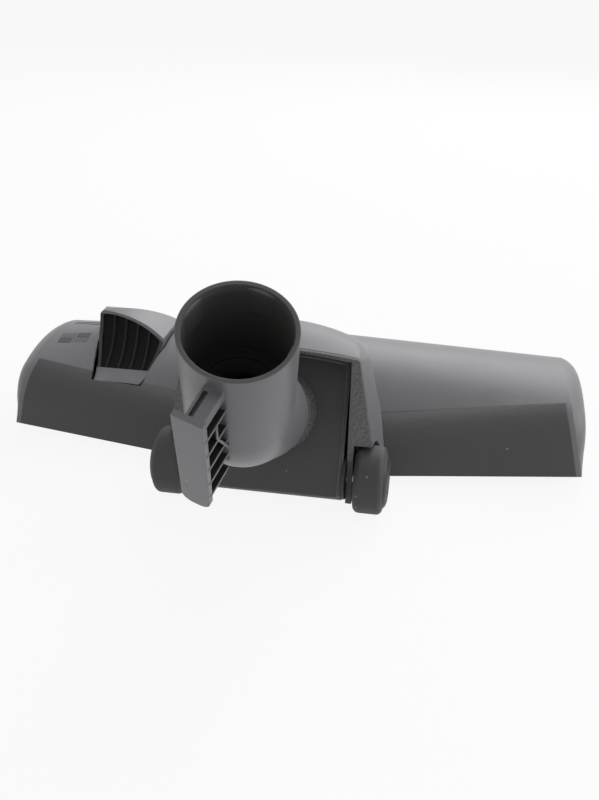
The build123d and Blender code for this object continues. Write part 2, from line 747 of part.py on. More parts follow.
# Elbow and connection tube with the parking hook, one moulding
rear_dir = swivel_dir * sin(radians(elbow_bend)) - lean_dir * cos(radians(elbow_bend))
hook_dir = rear_dir.rotate(Axis((0, 0, 0), tube_dir), -hook_turn)
elbow_plane = Plane(origin=face_centre, x_dir=swivel_dir, z_dir=swivel_dir.cross(lean_dir))
hook_end = Plane(origin=mouth, x_dir=hook_dir, z_dir=tube_dir)
hook_face = Plane(
    origin=mouth + hook_dir * (tube_radius + hook_stand),
    x_dir=hook_end.y_dir,
    z_dir=hook_dir,
)
hook_pitch = (hook_length - hook_top) / hook_rib_count
seal_at = (collar_width - seal_width) / 2
clip_at = -(face_thickness + swivel_gap + clip_width)
with BuildPart() as elbow_tube:
    with BuildLine(elbow_plane) as route:
        FilletPolyline(
            (neck_bare, 0),
            (neck_run, 0),
            (neck_run + tube_run * cos(radians(elbow_bend)), tube_run * sin(radians(elbow_bend))),
            radius=bend_radius,
        )
    with BuildSketch(face_plane.offset(neck_bare)) as tube_section:
        Circle(tube_radius)
    sweep(tube_section.sketch, path=route.line)
    with BuildSketch(face_plane.offset(-neck_inside)) as neck_section:
        Circle(neck_radius)
    extrude(neck_section.sketch, amount=neck_inside + collar_width + swivel_gap)
    with BuildSketch(face_plane.offset(collar_width + swivel_gap)) as neck_top:
        Circle(neck_radius)
    loft([neck_top.sketch, tube_section.sketch])
    with BuildSketch(hook_end.offset(-hook_top)) as web_section:
        with Locations(((tube_radius + socket_radius) / 2, 0)):
            Rectangle(hook_stand + hook_thickness, hook_web, align=(Align.MIN, Align.CENTER))
    extrude(web_section.sketch, amount=-(hook_length - hook_top - hook_corner))
    with BuildSketch(hook_end.offset(-hook_top)) as top_section:
        with Locations(((tube_radius + socket_radius) / 2, hook_top_shift)):
            Rectangle(hook_stand + hook_thickness, hook_top_width, align=(Align.MIN, Align.CENTER))
    extrude(top_section.sketch, amount=-2 * hook_web)
    with BuildSketch(hook_end.offset(-hook_top)) as groove_section:
        with Locations((tube_radius + hook_rib, hook_top_shift - hook_top_width / 4)):
            Rectangle(hook_stand - hook_rib, hook_groove, align=(Align.MIN, Align.CENTER))
    extrude(groove_section.sketch, amount=-hook_web, mode=Mode.SUBTRACT)
    with BuildSketch(hook_face) as hook_flange:
        with Locations((0, -hook_top)):
            Rectangle(hook_width, hook_length - hook_top, align=(Align.CENTER, Align.MAX))
        fillet(hook_flange.vertices().group_by(Axis.Y)[0], radius=hook_corner)
    extrude(hook_flange.sketch, amount=hook_thickness)
    for index in range(1, hook_rib_count):
        with BuildSketch(hook_end.offset(-hook_top - index * hook_pitch)) as rib_section:
            with Locations(((tube_radius + socket_radius) / 2, 0)):
                Rectangle(hook_stand + hook_thickness, hook_rib_reach, align=(Align.MIN, Align.MIN))
        extrude(rib_section.sketch, amount=-hook_rib)
    with BuildSketch(face_plane.offset(neck_bare)) as duct_section:
        Circle(duct_radius)
    sweep(duct_section.sketch, path=route.line, mode=Mode.SUBTRACT)
    extrude(duct_section.sketch, amount=-(neck_bare + neck_inside), mode=Mode.SUBTRACT)
    with BuildSketch(hook_end) as socket_section:
        Circle(socket_radius)
    extrude(socket_section.sketch, amount=-socket_depth, mode=Mode.SUBTRACT)
    for at, width in ((seal_at, seal_width), (clip_at, clip_width)):
        with BuildSketch(face_plane.offset(at)) as groove:
            Circle(neck_radius)
            Circle(groove_radius, mode=Mode.SUBTRACT)
        extrude(groove.sketch, amount=width, mode=Mode.SUBTRACT)
elbow_tube.part.label = "elbow_tube"

# Seal ring and retaining clip in the neck grooves
with BuildPart() as swivel_seal:
    with BuildSketch(face_plane.offset(seal_at)) as seal_ring:
        Circle(neck_radius + swivel_gap / 2)
        Circle(groove_radius, mode=Mode.SUBTRACT)
    extrude(seal_ring.sketch, amount=seal_width)
swivel_seal.part.label = "swivel_seal"

with BuildPart() as retaining_clip:
    with BuildSketch(face_plane.offset(clip_at)) as clip_ring:
        Circle(clip_radius)
        Circle(groove_radius, mode=Mode.SUBTRACT)
    extrude(clip_ring.sketch, amount=clip_width)
retaining_clip.part.label = "retaining_clip"

# Wheels: hard dished hub in a soft tyre, turning on a headed steel axle
wheel_parts = {}
head_at = wheel_out - hub_dish + swivel_gap
for name, side in (("left", -1), ("right", 1)):
    inner = side * wheel_in
    outer = side * wheel_out
    with BuildPart() as tyre:
        with BuildSketch(Plane.YZ.offset(inner)) as tyre_ring:
            with Locations((axle_y, axle_z)):
                Circle(wheel_radius)
                Circle(hub_radius, mode=Mode.SUBTRACT)
        extrude(tyre_ring.sketch, amount=side * wheel_width)
        fillet(tyre.edges().filter_by(GeomType.CIRCLE).group_by(SortBy.RADIUS)[-1], radius=tyre_round)
    tyre.part.label = "tyre_" + name
    wheel_parts["tyre_" + name] = tyre.part
    with BuildPart() as hub:
        with BuildSketch(Plane.YZ.offset(inner)) as hub_disc:
            with Locations((axle_y, axle_z)):
                Circle(hub_radius)
                Circle(axle_radius + running_fit, mode=Mode.SUBTRACT)
        extrude(hub_disc.sketch, amount=side * wheel_width)
        with BuildSketch(Plane.YZ.offset(outer)) as dish:
            with Locations((axle_y, axle_z)):
                Circle(hub_radius - hub_rim)
        extrude(dish.sketch, amount=-side * hub_dish, mode=Mode.SUBTRACT)
    hub.part.label = "wheel_hub_" + name
    wheel_parts["wheel_hub_" + name] = hub.part
    with BuildPart() as axle:
        with BuildSketch(Plane.YZ.offset(side * (cradle_half - axle_grip))) as axle_bar:
            with Locations((axle_y, axle_z)):
                Circle(axle_radius)
        extrude(axle_bar.sketch, amount=side * (head_at + axle_head - cradle_half + axle_grip))
        with BuildSketch(Plane.YZ.offset(side * head_at)) as axle_cap:
            with Locations((axle_y, axle_z)):
                Circle(axle_head_radius)
        extrude(axle_cap.sketch, amount=side * axle_head)
    axle.part.label = "axle_" + name
    wheel_parts["axle_" + name] = axle.part


# Foot pedal
def crest_profile(lower, inset):
    """Rear view of the pedal: high at its outer end and falling towards the hood."""
    left = pedal_x - pedal_width / 2 + inset
    right = pedal_x + pedal_width / 2 - inset
    crest_z = pedal_axis_z + pedal_radius - lower
    with BuildSketch(Plane.XZ.offset(-(pedal_axis_y + 2 * pedal_radius))) as profile:
        with BuildLine():
            Polyline((right, crest_z - crest_fall), (right, 0), (left, 0), (left, crest_z - crest_corner))
            ThreePointArc(
                (left, crest_z - crest_corner),
                (left + corner_share * crest_corner, crest_z - corner_share * crest_corner),
                (left + crest_corner, crest_z),
            )
            ThreePointArc(
                (left + crest_corner, crest_z),
                ((left + right) / 2, crest_z - crest_share * crest_fall),
                (right, crest_z - crest_fall),
            )
        make_face()
    return profile.sketch


crest_turn = radians(pedal_crest)
tail_top = Vector(pedal_tail_y, pedal_tail_z)
crest_top = Vector(
    pedal_axis_y + pedal_radius * cos(crest_turn),
    pedal_axis_z + pedal_radius * sin(crest_turn),
)
chord = crest_top - tail_top
chord_mid = (crest_top + tail_top) / 2
scoop_down = Vector(chord.Y, -chord.X) * (1 / chord.length)
scoop_radius = (chord.length ** 2 / 4 + scoop_sag ** 2) / (2 * scoop_sag)
scoop_centre = chord_mid - scoop_down * (scoop_radius - scoop_sag)


def scoop_point(along, depth):
    """Point of the scoop at a share of its arc, sunk below the surface by depth."""
    reach = (tail_top - scoop_centre).rotate(Axis.Z, along * scoop_angle)
    spot = scoop_centre + reach * ((scoop_radius + depth) / scoop_radius)
    return (spot.X, spot.Y)


scoop_angle = (tail_top - scoop_centre).get_angle(crest_top - scoop_centre)


def scoop_band(start, end, top, bottom, x0, x1, mode):
    """Layer of the scoop between two depths, from x0 to x1."""
    half = (start + end) / 2
    with BuildSketch(Plane.YZ.offset(x0)) as band:
        with BuildLine():
            ThreePointArc(scoop_point(start, top), scoop_point(half, top), scoop_point(end, top))
            Line(scoop_point(end, top), scoop_point(end, bottom))
            ThreePointArc(scoop_point(end, bottom), scoop_point(half, bottom), scoop_point(start, bottom))
            Line(scoop_point(start, bottom), scoop_point(start, top))
        make_face()
    extrude(band.sketch, amount=x1 - x0, mode=mode)


pad_left = pedal_left + pedal_rim
pad_right = pedal_right - pedal_rim
pad_floor = pad_rib_height + pad_thickness
nose_turn = radians(pedal_nose)


def pedal_outline(wall, sink):
    """Side view of the pedal: scoop, drum front and the low edge round the axis."""
    drum = pedal_radius - wall
    low = pedal_axis_z - pedal_low
    top_share = 1 - wall / chord.length
    mid_share = 1 / 2
    with BuildSketch(Plane.YZ.offset(pedal_left)) as outline:
        with BuildLine():
            first = scoop_point(wall / chord.length, sink)
            last = scoop_point(top_share, sink)
            crest = (pedal_axis_y + drum * cos(crest_turn), pedal_axis_z + drum * sin(crest_turn))
            middle_turn = (crest_turn + nose_turn) / 2
            nose = (pedal_axis_y + drum * cos(nose_turn), pedal_axis_z + drum * sin(nose_turn))
            ThreePointArc(first, scoop_point(mid_share, sink), last)
            under = pedal_axis_y + pedal_low
            if wall > 0:
                Line(last, crest)
                under = nose[0]
            ThreePointArc(
                crest,
                (pedal_axis_y + drum * cos(middle_turn), pedal_axis_z + drum * sin(middle_turn)),
                nose,
            )
            Polyline(
                nose,
                (under, low - wall),
                (pedal_axis_y - pedal_low, low - wall),
                (first[0], pedal_tail_z - pedal_tail - wall),
                first,
            )
        make_face()
    return outline.sketch


with BuildPart() as pedal_pocket:
    scoop_band(pad_start, pad_end, -pad_floor, pad_floor, pad_left, pad_right, Mode.ADD)
    extrude(crest_profile(pedal_rim, pedal_rim), amount=4 * pedal_radius, mode=Mode.INTERSECT)
    extrude(pedal_plan(0, -pedal_rim), amount=4 * pedal_radius, mode=Mode.INTERSECT)

with BuildPart() as pedal_hollow:
    extrude(pedal_outline(pedal_wall, pad_floor + pedal_wall), amount=pedal_width)
    extrude(crest_profile(pedal_wall, pedal_wall), amount=4 * pedal_radius, mode=Mode.INTERSECT)
    extrude(pedal_plan(0, -pedal_wall), amount=4 * pedal_radius, mode=Mode.INTERSECT)
    with BuildSketch(Plane.YZ.offset(pedal_x - pedal_web / 2)) as web:
        with Locations((pedal_axis_y, pedal_axis_z)):
            Circle(2 * pedal_radius)
    extrude(web.sketch, amount=pedal_web, mode=Mode.SUBTRACT)

with BuildPart() as pedal_cap:
    extrude(pedal_outline(0, 0), amount=pedal_width)
    extrude(crest_profile(0, 0), amount=4 * pedal_radius, mode=Mode.INTERSECT)
    extrude(pedal_plan(0, 0), amount=4 * pedal_radius, mode=Mode.INTERSECT)
    add(pedal_hollow.part, mode=Mode.SUBTRACT)
    add(pedal_pocket.part, mode=Mode.SUBTRACT)
    across(pedal_x, tower_x + tower_thickness + tower_gap, drive_y, drive_z, arm_pin_radius, Mode.ADD)
    across(pedal_left, pedal_right, pedal_axis_y, pedal_axis_z, pedal_pin_radius + running_fit, Mode.SUBTRACT)
pedal_cap.part.label = "pedal_cap"

# Ribbed tread in the scoop
with BuildPart() as pedal_pad:
    scoop_band(pad_start, pad_end, pad_rib_height, pad_floor, pad_left, pad_right, Mode.ADD)
    rib_pitch = (pad_right - pad_left) / (pad_rib_count + 1)
    for index in range(1, pad_rib_count + 1):
        x = pad_left + index * rib_pitch
        scoop_band(pad_start, pad_end, 0, pad_floor, x - pad_rib / 2, x + pad_rib / 2, Mode.ADD)
    extrude(crest_profile(pedal_rim, pedal_rim), amount=4 * pedal_radius, mode=Mode.INTERSECT)
    extrude(pedal_plan(0, -pedal_rim), amount=4 * pedal_radius, mode=Mode.INTERSECT)
pedal_pad.part.label = "pedal_pad"

with BuildPart() as pedal_pin:
    pin_left = pedal_left + pin_inset
    pin_right = pedal_right - pin_inset
    across(pin_left, pin_right, pedal_axis_y, pedal_axis_z, pedal_pin_radius, Mode.ADD)
pedal_pin.part.label = "pedal_pin"

os.makedirs("parts", exist_ok=True)
pieces = [
    upper_cover.part,
    lower_body.part,
    sole_plate.part,
    housing_screws.part,
    brush_carrier.part,
    cradle.part,
    swivel_collar.part,
    elbow_tube.part,
    swivel_seal.part,
    retaining_clip.part,
    pedal_cap.part,
    pedal_pad.part,
    pedal_pin.part,
    *lifters.values(),
    *brushes.values(),
    *wheel_parts.values(),
]
for piece in pieces:
    export_step(piece, "parts/" + piece.label + ".step")
    print(piece.label, round(piece.volume), piece.is_valid, len(piece.solids()))
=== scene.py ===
import json
import math
import random

import bmesh
import bpy
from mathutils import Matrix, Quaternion, Vector
from mathutils.bvhtree import BVHTree


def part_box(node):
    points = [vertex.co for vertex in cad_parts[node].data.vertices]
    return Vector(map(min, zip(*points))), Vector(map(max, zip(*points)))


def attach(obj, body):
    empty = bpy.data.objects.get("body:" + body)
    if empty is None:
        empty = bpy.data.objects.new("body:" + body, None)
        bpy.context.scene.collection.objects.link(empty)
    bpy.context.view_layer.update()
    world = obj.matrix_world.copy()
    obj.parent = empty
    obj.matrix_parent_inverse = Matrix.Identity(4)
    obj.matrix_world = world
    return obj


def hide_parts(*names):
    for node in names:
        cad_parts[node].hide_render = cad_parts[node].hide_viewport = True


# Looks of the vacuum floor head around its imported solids. Lengths in metres, angles in degrees.

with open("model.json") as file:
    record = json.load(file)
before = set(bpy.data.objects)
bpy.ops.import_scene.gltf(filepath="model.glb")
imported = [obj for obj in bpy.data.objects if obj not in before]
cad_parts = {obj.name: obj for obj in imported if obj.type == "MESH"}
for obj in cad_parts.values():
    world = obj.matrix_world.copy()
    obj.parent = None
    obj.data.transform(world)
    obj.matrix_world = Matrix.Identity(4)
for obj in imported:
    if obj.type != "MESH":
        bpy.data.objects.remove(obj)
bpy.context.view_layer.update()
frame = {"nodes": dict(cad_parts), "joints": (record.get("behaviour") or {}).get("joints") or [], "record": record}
nodes = frame["nodes"]
joints = {joint["name"]: joint for joint in frame["joints"]}
mounts = {mount["name"]: mount for mount in frame["record"]["mounts"]}

MM = 0.001

# Camera
camera_spot = Vector((66.9, -400.6, 216.0)) * MM
camera_azimuth = 9.59
camera_elevation = 27.0
camera_roll = 0.69
camera_lens = 40.5
camera_sensor = 36.0
camera_near = 0.01
camera_far = 100.0

# Finishes, as linear colours
satin_grey = (0.172, 0.17, 0.184, 1.0)
tube_grey = (0.14, 0.138, 0.15, 1.0)
skirt_dark = (0.055, 0.055, 0.0565, 1.0)
# Painted light: paler colour for the frame round the cradle, which is the skirts' plastic
frame_painted_light = (0.16, 0.16, 0.162, 1.0)
cradle_dark = (0.055, 0.055, 0.0555, 1.0)
collar_dark = (0.22, 0.22, 0.223, 1.0)
tread_black = (0.006, 0.006, 0.0065, 1.0)
tyre_black = (0.056, 0.056, 0.056, 1.0)
hub_dark = (0.024, 0.024, 0.026, 1.0)
inner_dark = (0.02, 0.02, 0.021, 1.0)
symbol_dark = (0.07, 0.07, 0.075, 1.0)
# Pale grey of the painted highlight on edges; the collar's ridge tops are also mixed towards it
edge_pale = (0.3, 0.3, 0.315, 1.0)
dust_pale = (0.42, 0.41, 0.4, 1.0)
bristle_black = (0.012, 0.012, 0.013, 1.0)
pile_red = (0.22, 0.02, 0.022, 1.0)
steel_pale = (0.56, 0.56, 0.57, 1.0)
# Painted shade down the tube's bore and on the step inside it
bore_shade = (0.06, 0.06, 0.058, 1.0)
bore_step_shade = (0.012, 0.012, 0.012, 1.0)
rim_dark = (0.055, 0.055, 0.057, 1.0)
# Painted shade between the hook's ribs
rib_pocket_shade = (0.018, 0.018, 0.019, 1.0)
# Painted highlight on the tread's rib tops
rib_highlight = (0.035, 0.035, 0.036, 1.0)

# How the finishes are laid on
edge_radius = 0.6 * MM
plain_gloss = 0.5
stipple_strength = 0.6
dust_share = 0.55
# Roughness of the bore where its shade is painted
shaded_bore_rough = 0.85
knurl_ridges = 80.0
knurl_climb = 3200.0        # turn of the wave for each metre along the collar

# Swivel and tube directions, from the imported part
swivel_spot = Vector(joints["swivel"]["pos_m"])
swivel_dir = Vector(joints["swivel"]["axis"]).normalized()
tube_dir = Vector(mounts["tube_socket"]["axis"]).normalized()
socket_radius = mounts["tube_socket"]["dims"]["r_mm"] * MM
socket_length = mounts["tube_socket"]["dims"]["length_mm"] * MM
tube_mouth = Vector(mounts["tube_socket"]["pos_m"]) + tube_dir * (socket_length / 2)
wheel_centre = Vector(joints["right_wheel_turn"]["pos_m"])

# Parking hook on the tube: its direction off the tube and the side that its ribs stand on
hook_turn = -6.0
bend_side = (swivel_dir - tube_dir * swivel_dir.dot(tube_dir)).normalized()
hook_out = Quaternion(tube_dir, math.radians(hook_turn)) @ bend_side
hook_side = tube_dir.cross(hook_out)
tube_outside = 19.1 * MM
web_half = 1.0 * MM
rib_reach = 5.6 * MM
hook_block = 10.4 * MM
flange_inside = 29.9 * MM

# Pedal scoop in its side view, as (Y, Z): tail, crest and how deep the scoop sags between them
scoop_tail = Vector((-36.0, 28.5)) * MM
scoop_crest = Vector((-8.0, 53.2)) * MM
scoop_sag = 6.6 * MM
scoop_rim = 1.5 * MM
scoop_skin = 0.25 * MM
crest_fall = 11.0 * MM
ledge_edge = -25.8 * MM
pedal_low, pedal_high = (Vector(corner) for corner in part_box("pedal_cap"))

# Frame round the cradle
frame_half = 48.0 * MM
frame_front = -52.0 * MM
frame_blend = 1.0 * MM

# Colour sockets of the Mix node, by place
colour_a = 6
colour_b = 7
colour_result = 2


# Node helpers
def add_node(tree, kind, **values):
    """New node; values name its input sockets (with spaces as underscores) or its settings."""
    made = tree.nodes.new(kind)
    for key, value in values.items():
        socket = made.inputs.get(key.replace("_", " "))
        if socket is not None:
            socket.default_value = value
        else:
            setattr(made, key, value)
    return made


def link(tree, start, end):
    tree.links.new(start, end)


def feed(tree, value, socket):
    """Link a socket into another, or set a plain value on it."""
    if isinstance(value, bpy.types.NodeSocket):
        link(tree, value, socket)
    else:
        socket.default_value = value


def math_node(tree, operation, first, second=0.0):
    """Math node on two values, each a socket or a number."""
    made = add_node(tree, "ShaderNodeMath", operation=operation)
    feed(tree, first, made.inputs[0])
    feed(tree, second, made.inputs[1])
    return made.outputs["Value"]


def vector_node(tree, operation, first, second=(0.0, 0.0, 0.0)):
    """Vector math node on two vectors, each a socket or a value."""
    made = add_node(tree, "ShaderNodeVectorMath", operation=operation)
    feed(tree, first, made.inputs[0])
    feed(tree, second, made.inputs[1])
    return made


def mix_colour(tree, factor, first, second):
    """Colour mix; the factor is a socket, the colours are sockets or values."""
    made = add_node(tree, "ShaderNodeMix", data_type="RGBA")
    link(tree, factor, made.inputs["Factor"])
    feed(tree, first, made.inputs[colour_a])
    feed(tree, second, made.inputs[colour_b])
    return made.outputs[colour_result]


def map_range(tree, value, low, high, to_low, to_high):
    """Value moved from one range to another, each end a socket or a number."""
    made = tree.nodes.new("ShaderNodeMapRange")
    ends = {"Value": value, "From Min": low, "From Max": high, "To Min": to_low, "To Max": to_high}
    for label, end in ends.items():
        feed(tree, end, made.inputs[label])
    return made.outputs["Result"]


def mask_up(tree, value, start, end):
    """Mask that goes from 0 to 1 between two values."""
    return map_range(tree, value, start, end, 0.0, 1.0)


def mask_down(tree, value, start, end):
    """Mask that goes from 1 to 0 between two values."""
    return map_range(tree, value, start, end, 1.0, 0.0)


def all_masks(tree, first, *others):
    """Mask of the places where every mask holds."""
    for other in others:
        first = math_node(tree, "MULTIPLY", first, other)
    return first


def object_place(tree):
    return tree.nodes.new("ShaderNodeTexCoord").outputs["Object"]


def split(tree, vector):
    """X, Y and Z of a vector, as sockets."""
    made = tree.nodes.new("ShaderNodeSeparateXYZ")
    link(tree, vector, made.inputs["Vector"])
    return made.outputs["X"], made.outputs["Y"], made.outputs["Z"]


def noise(tree, place, scale, detail, roughness=0.5):
    made = add_node(tree, "ShaderNodeTexNoise", Detail=detail, Roughness=roughness)
    link(tree, place, made.inputs["Vector"])
    feed(tree, scale, made.inputs["Scale"])
    return made.outputs["Fac"]


def offset_from(tree, spot):
    """Vector from a fixed spot of the object to the shaded point."""
    return vector_node(tree, "SUBTRACT", object_place(tree), spot).outputs["Vector"]


def reach_along(tree, offset, direction):
    """Length of an offset along a direction."""
    return vector_node(tree, "DOT_PRODUCT", offset, direction).outputs["Value"]


def reach_across(tree, offset, direction):
    """Distance of an offset's end from an axis."""
    across = vector_node(tree, "CROSS_PRODUCT", offset, direction)
    return vector_node(tree, "LENGTH", across.outputs["Vector"]).outputs["Value"]


def seen_rays(tree):
    """1 for rays that show a thing straight or by reflection, and 0 for rays that only carry light."""
    path = tree.nodes.new("ShaderNodeLightPath")
    seen = math_node(tree, "MAXIMUM", path.outputs["Is Camera Ray"], path.outputs["Is Glossy Ray"])
    return math_node(tree, "MAXIMUM", seen, path.outputs["Is Transmission Ray"])


def tint(colour, factor):
    """Colour made darker or paler by a factor."""
    return tuple(factor * part for part in colour[:3]) + (1.0,)


def new_group(name, inputs, outputs):
    """Shader node group with named sockets, its input node and its output node."""
    tree = bpy.data.node_groups.new(name, "ShaderNodeTree")
    for label, kind, value in inputs:
        socket = tree.interface.new_socket(label, in_out="INPUT", socket_type=kind)
        socket.default_value = value
    for label, kind in outputs:
        tree.interface.new_socket(label, in_out="OUTPUT", socket_type=kind)
    return tree, tree.nodes.new("NodeGroupInput"), tree.nodes.new("NodeGroupOutput")


def use_group(tree, group, **values):
    made = tree.nodes.new("ShaderNodeGroup")
    made.node_tree = group
    for key, value in values.items():
        made.inputs[key.replace("_", " ")].default_value = value
    return made


FLOAT, COLOUR, VECTOR = "NodeSocketFloat", "NodeSocketColor", "NodeSocketVector"


# Shared effects
def make_moulded_grain():
    """Colour drift, roughness drift and the fine stipple of a moulded surface."""
    tree, start, end = new_group(
        "moulded grain",
        [
            ("Colour", COLOUR, (0.1, 0.1, 0.1, 1.0)),
            ("Stipple Scale", FLOAT, 1500.0),
            ("Drift", FLOAT, 0.1),
            ("Smooth", FLOAT, 0.35),
            ("Rough", FLOAT, 0.5),
        ],
        [("Colour", COLOUR), ("Roughness", FLOAT), ("Height", FLOAT)],
    )
    place = object_place(tree)
    stipple = noise(tree, place, scale=start.outputs["Stipple Scale"], detail=3.0, roughness=0.6)
    cloud = noise(tree, place, scale=38.0, detail=4.0, roughness=0.65)
    swing = map_range(tree, cloud, 0.3, 0.7, -1.0, 1.0)
    drift = math_node(tree, "MULTIPLY", swing, start.outputs["Drift"])
    tone = tree.nodes.new("ShaderNodeHueSaturation")
    link(tree, math_node(tree, "ADD", drift, 1.0), tone.inputs["Value"])
    link(tree, start.outputs["Colour"], tone.inputs["Color"])
    both = math_node(tree, "MULTIPLY", cloud, stipple)
    dulling = map_range(tree, both, 0.1, 0.4, start.outputs["Smooth"], start.outputs["Rough"])
    link(tree, tone.outputs["Color"], end.inputs["Colour"])
    link(tree, dulling, end.inputs["Roughness"])
    link(tree, stipple, end.inputs["Height"])
    return tree


def make_soft_edge():
    """Rounded-edge normal and a mask that marks the edges for a painted highlight, broken up in patches."""
    tree, start, end = new_group(
        "soft edge",
        [("Radius", FLOAT, edge_radius)],
        [("Mask", FLOAT), ("Normal", VECTOR)],
    )
    bevel = add_node(tree, "ShaderNodeBevel", samples=6)
    link(tree, start.outputs["Radius"], bevel.inputs["Radius"])
    flat = tree.nodes.new("ShaderNodeNewGeometry").outputs["Normal"]
    match = vector_node(tree, "DOT_PRODUCT", bevel.outputs["Normal"], flat).outputs["Value"]
    bend = math_node(tree, "SUBTRACT", 1.0, match)
    patch = noise(tree, object_place(tree), scale=120.0, detail=3.0)
    paler_share = map_range(tree, patch, 0.35, 0.65, 0.45, 1.0)
    # Painted highlight mask along the edges, thinned out in patches
    link(tree, all_masks(tree, mask_up(tree, bend, 0.004, 0.1), paler_share), end.inputs["Mask"])
    link(tree, bevel.outputs["Normal"], end.inputs["Normal"])
    return tree


def make_dust_specks():
    """Sparse pale specks of lint and dust."""
    tree, start, end = new_group(
        "dust specks",
        [("Speck Scale", FLOAT, 260.0), ("Share", FLOAT, 0.04)],
        [("Mask", FLOAT)],
    )
    cells = add_node(tree, "ShaderNodeTexVoronoi", Randomness=1.0)
    link(tree, object_place(tree), cells.inputs["Vector"])
    link(tree, start.outputs["Speck Scale"], cells.inputs["Scale"])
    chance = tree.nodes.new("ShaderNodeSeparateColor")
    link(tree, cells.outputs["Color"], chance.inputs["Color"])
    picked = math_node(tree, "LESS_THAN", chance.outputs["Red"], start.outputs["Share"])
    spot = mask_down(tree, cells.outputs["Distance"], 0.06, 0.16)
    link(tree, all_masks(tree, picked, spot), end.inputs["Mask"])
    return tree


def make_knurl():
    """Crossing ridges round the swivel axis, for the collar."""
    tree, start, end = new_group("knurl", [("Ridges", FLOAT, 72.0)], [("Height", FLOAT), ("Mask", FLOAT)])
    turn = Vector((0, 0, 1)).rotation_difference(swivel_dir).inverted().to_euler()
    spin = add_node(tree, "ShaderNodeVectorRotate", rotation_type="EULER_XYZ", Rotation=turn)
    link(tree, offset_from(tree, swivel_spot), spin.inputs["Vector"])
    x, y, z = split(tree, spin.outputs["Vector"])
    wave = math_node(tree, "MULTIPLY", math_node(tree, "ARCTAN2", y, x), start.outputs["Ridges"])
    climb = math_node(tree, "MULTIPLY", z, knurl_climb)
    one = math_node(tree, "SINE", math_node(tree, "ADD", wave, climb))
    two = math_node(tree, "SINE", math_node(tree, "SUBTRACT", wave, climb))
    height = math_node(tree, "MAXIMUM", one, two)
    link(tree, height, end.inputs["Height"])
    link(tree, mask_up(tree, height, -0.2, 1.0), end.inputs["Mask"])
    return tree


moulded_grain = make_moulded_grain()
soft_edge = make_soft_edge()
dust_specks = make_dust_specks()
knurl = make_knurl()


# Materials
def start_material(name):
    """Material with a plain principled shader, its node tree and the shader."""
    made = bpy.data.materials.new(name)
    made.use_nodes = True
    tree = made.node_tree
    tree.nodes.clear()
    shader = tree.nodes.new("ShaderNodeBsdfPrincipled")
    output = tree.nodes.new("ShaderNodeOutputMaterial")
    link(tree, shader.outputs["BSDF"], output.inputs["Surface"])
    return made, tree, shader


def bump(tree, shader, height, distance, strength, normal=None):
    made = add_node(tree, "ShaderNodeBump", Strength=strength, Distance=distance)
    link(tree, height, made.inputs["Height"])
    if normal is not None:
        link(tree, normal, made.inputs["Normal"])
    link(tree, made.outputs["Normal"], shader.inputs["Normal"])


def moulded_plastic(
    name, colour, smooth, rough, stipple, depth, drift, edge, specks, radius=edge_radius, gloss=plain_gloss
):
    """Moulded plastic with stipple, colour drift, a painted highlight along its edges and a little dust.

    Its roughness lies between smooth and rough. Stipple and depth are the scale and height of its grain,
    drift is the swing of its colour, and edge and specks are the shares of painted edge highlight and of dust.
    """
    made, tree, shader = start_material(name)
    shader.inputs["Specular IOR Level"].default_value = gloss
    grain = use_group(
        tree, moulded_grain, Colour=colour, Stipple_Scale=stipple, Drift=drift, Smooth=smooth, Rough=rough
    )
    rim = use_group(tree, soft_edge, Radius=radius)
    dust = use_group(tree, dust_specks, Share=specks)
    # Painted highlight: the edges are mixed towards a pale grey
    paler = math_node(tree, "MULTIPLY", rim.outputs["Mask"], edge)
    body = mix_colour(tree, paler, grain.outputs["Colour"], edge_pale)
    faint = math_node(tree, "MULTIPLY", dust.outputs["Mask"], dust_share)
    dust_and_highlight = mix_colour(tree, faint, body, dust_pale)
    link(tree, dust_and_highlight, shader.inputs["Base Color"])
    link(tree, grain.outputs["Roughness"], shader.inputs["Roughness"])
    bump(tree, shader, grain.outputs["Height"], depth, stipple_strength, rim.outputs["Normal"])
    return made, tree, shader, dust_and_highlight


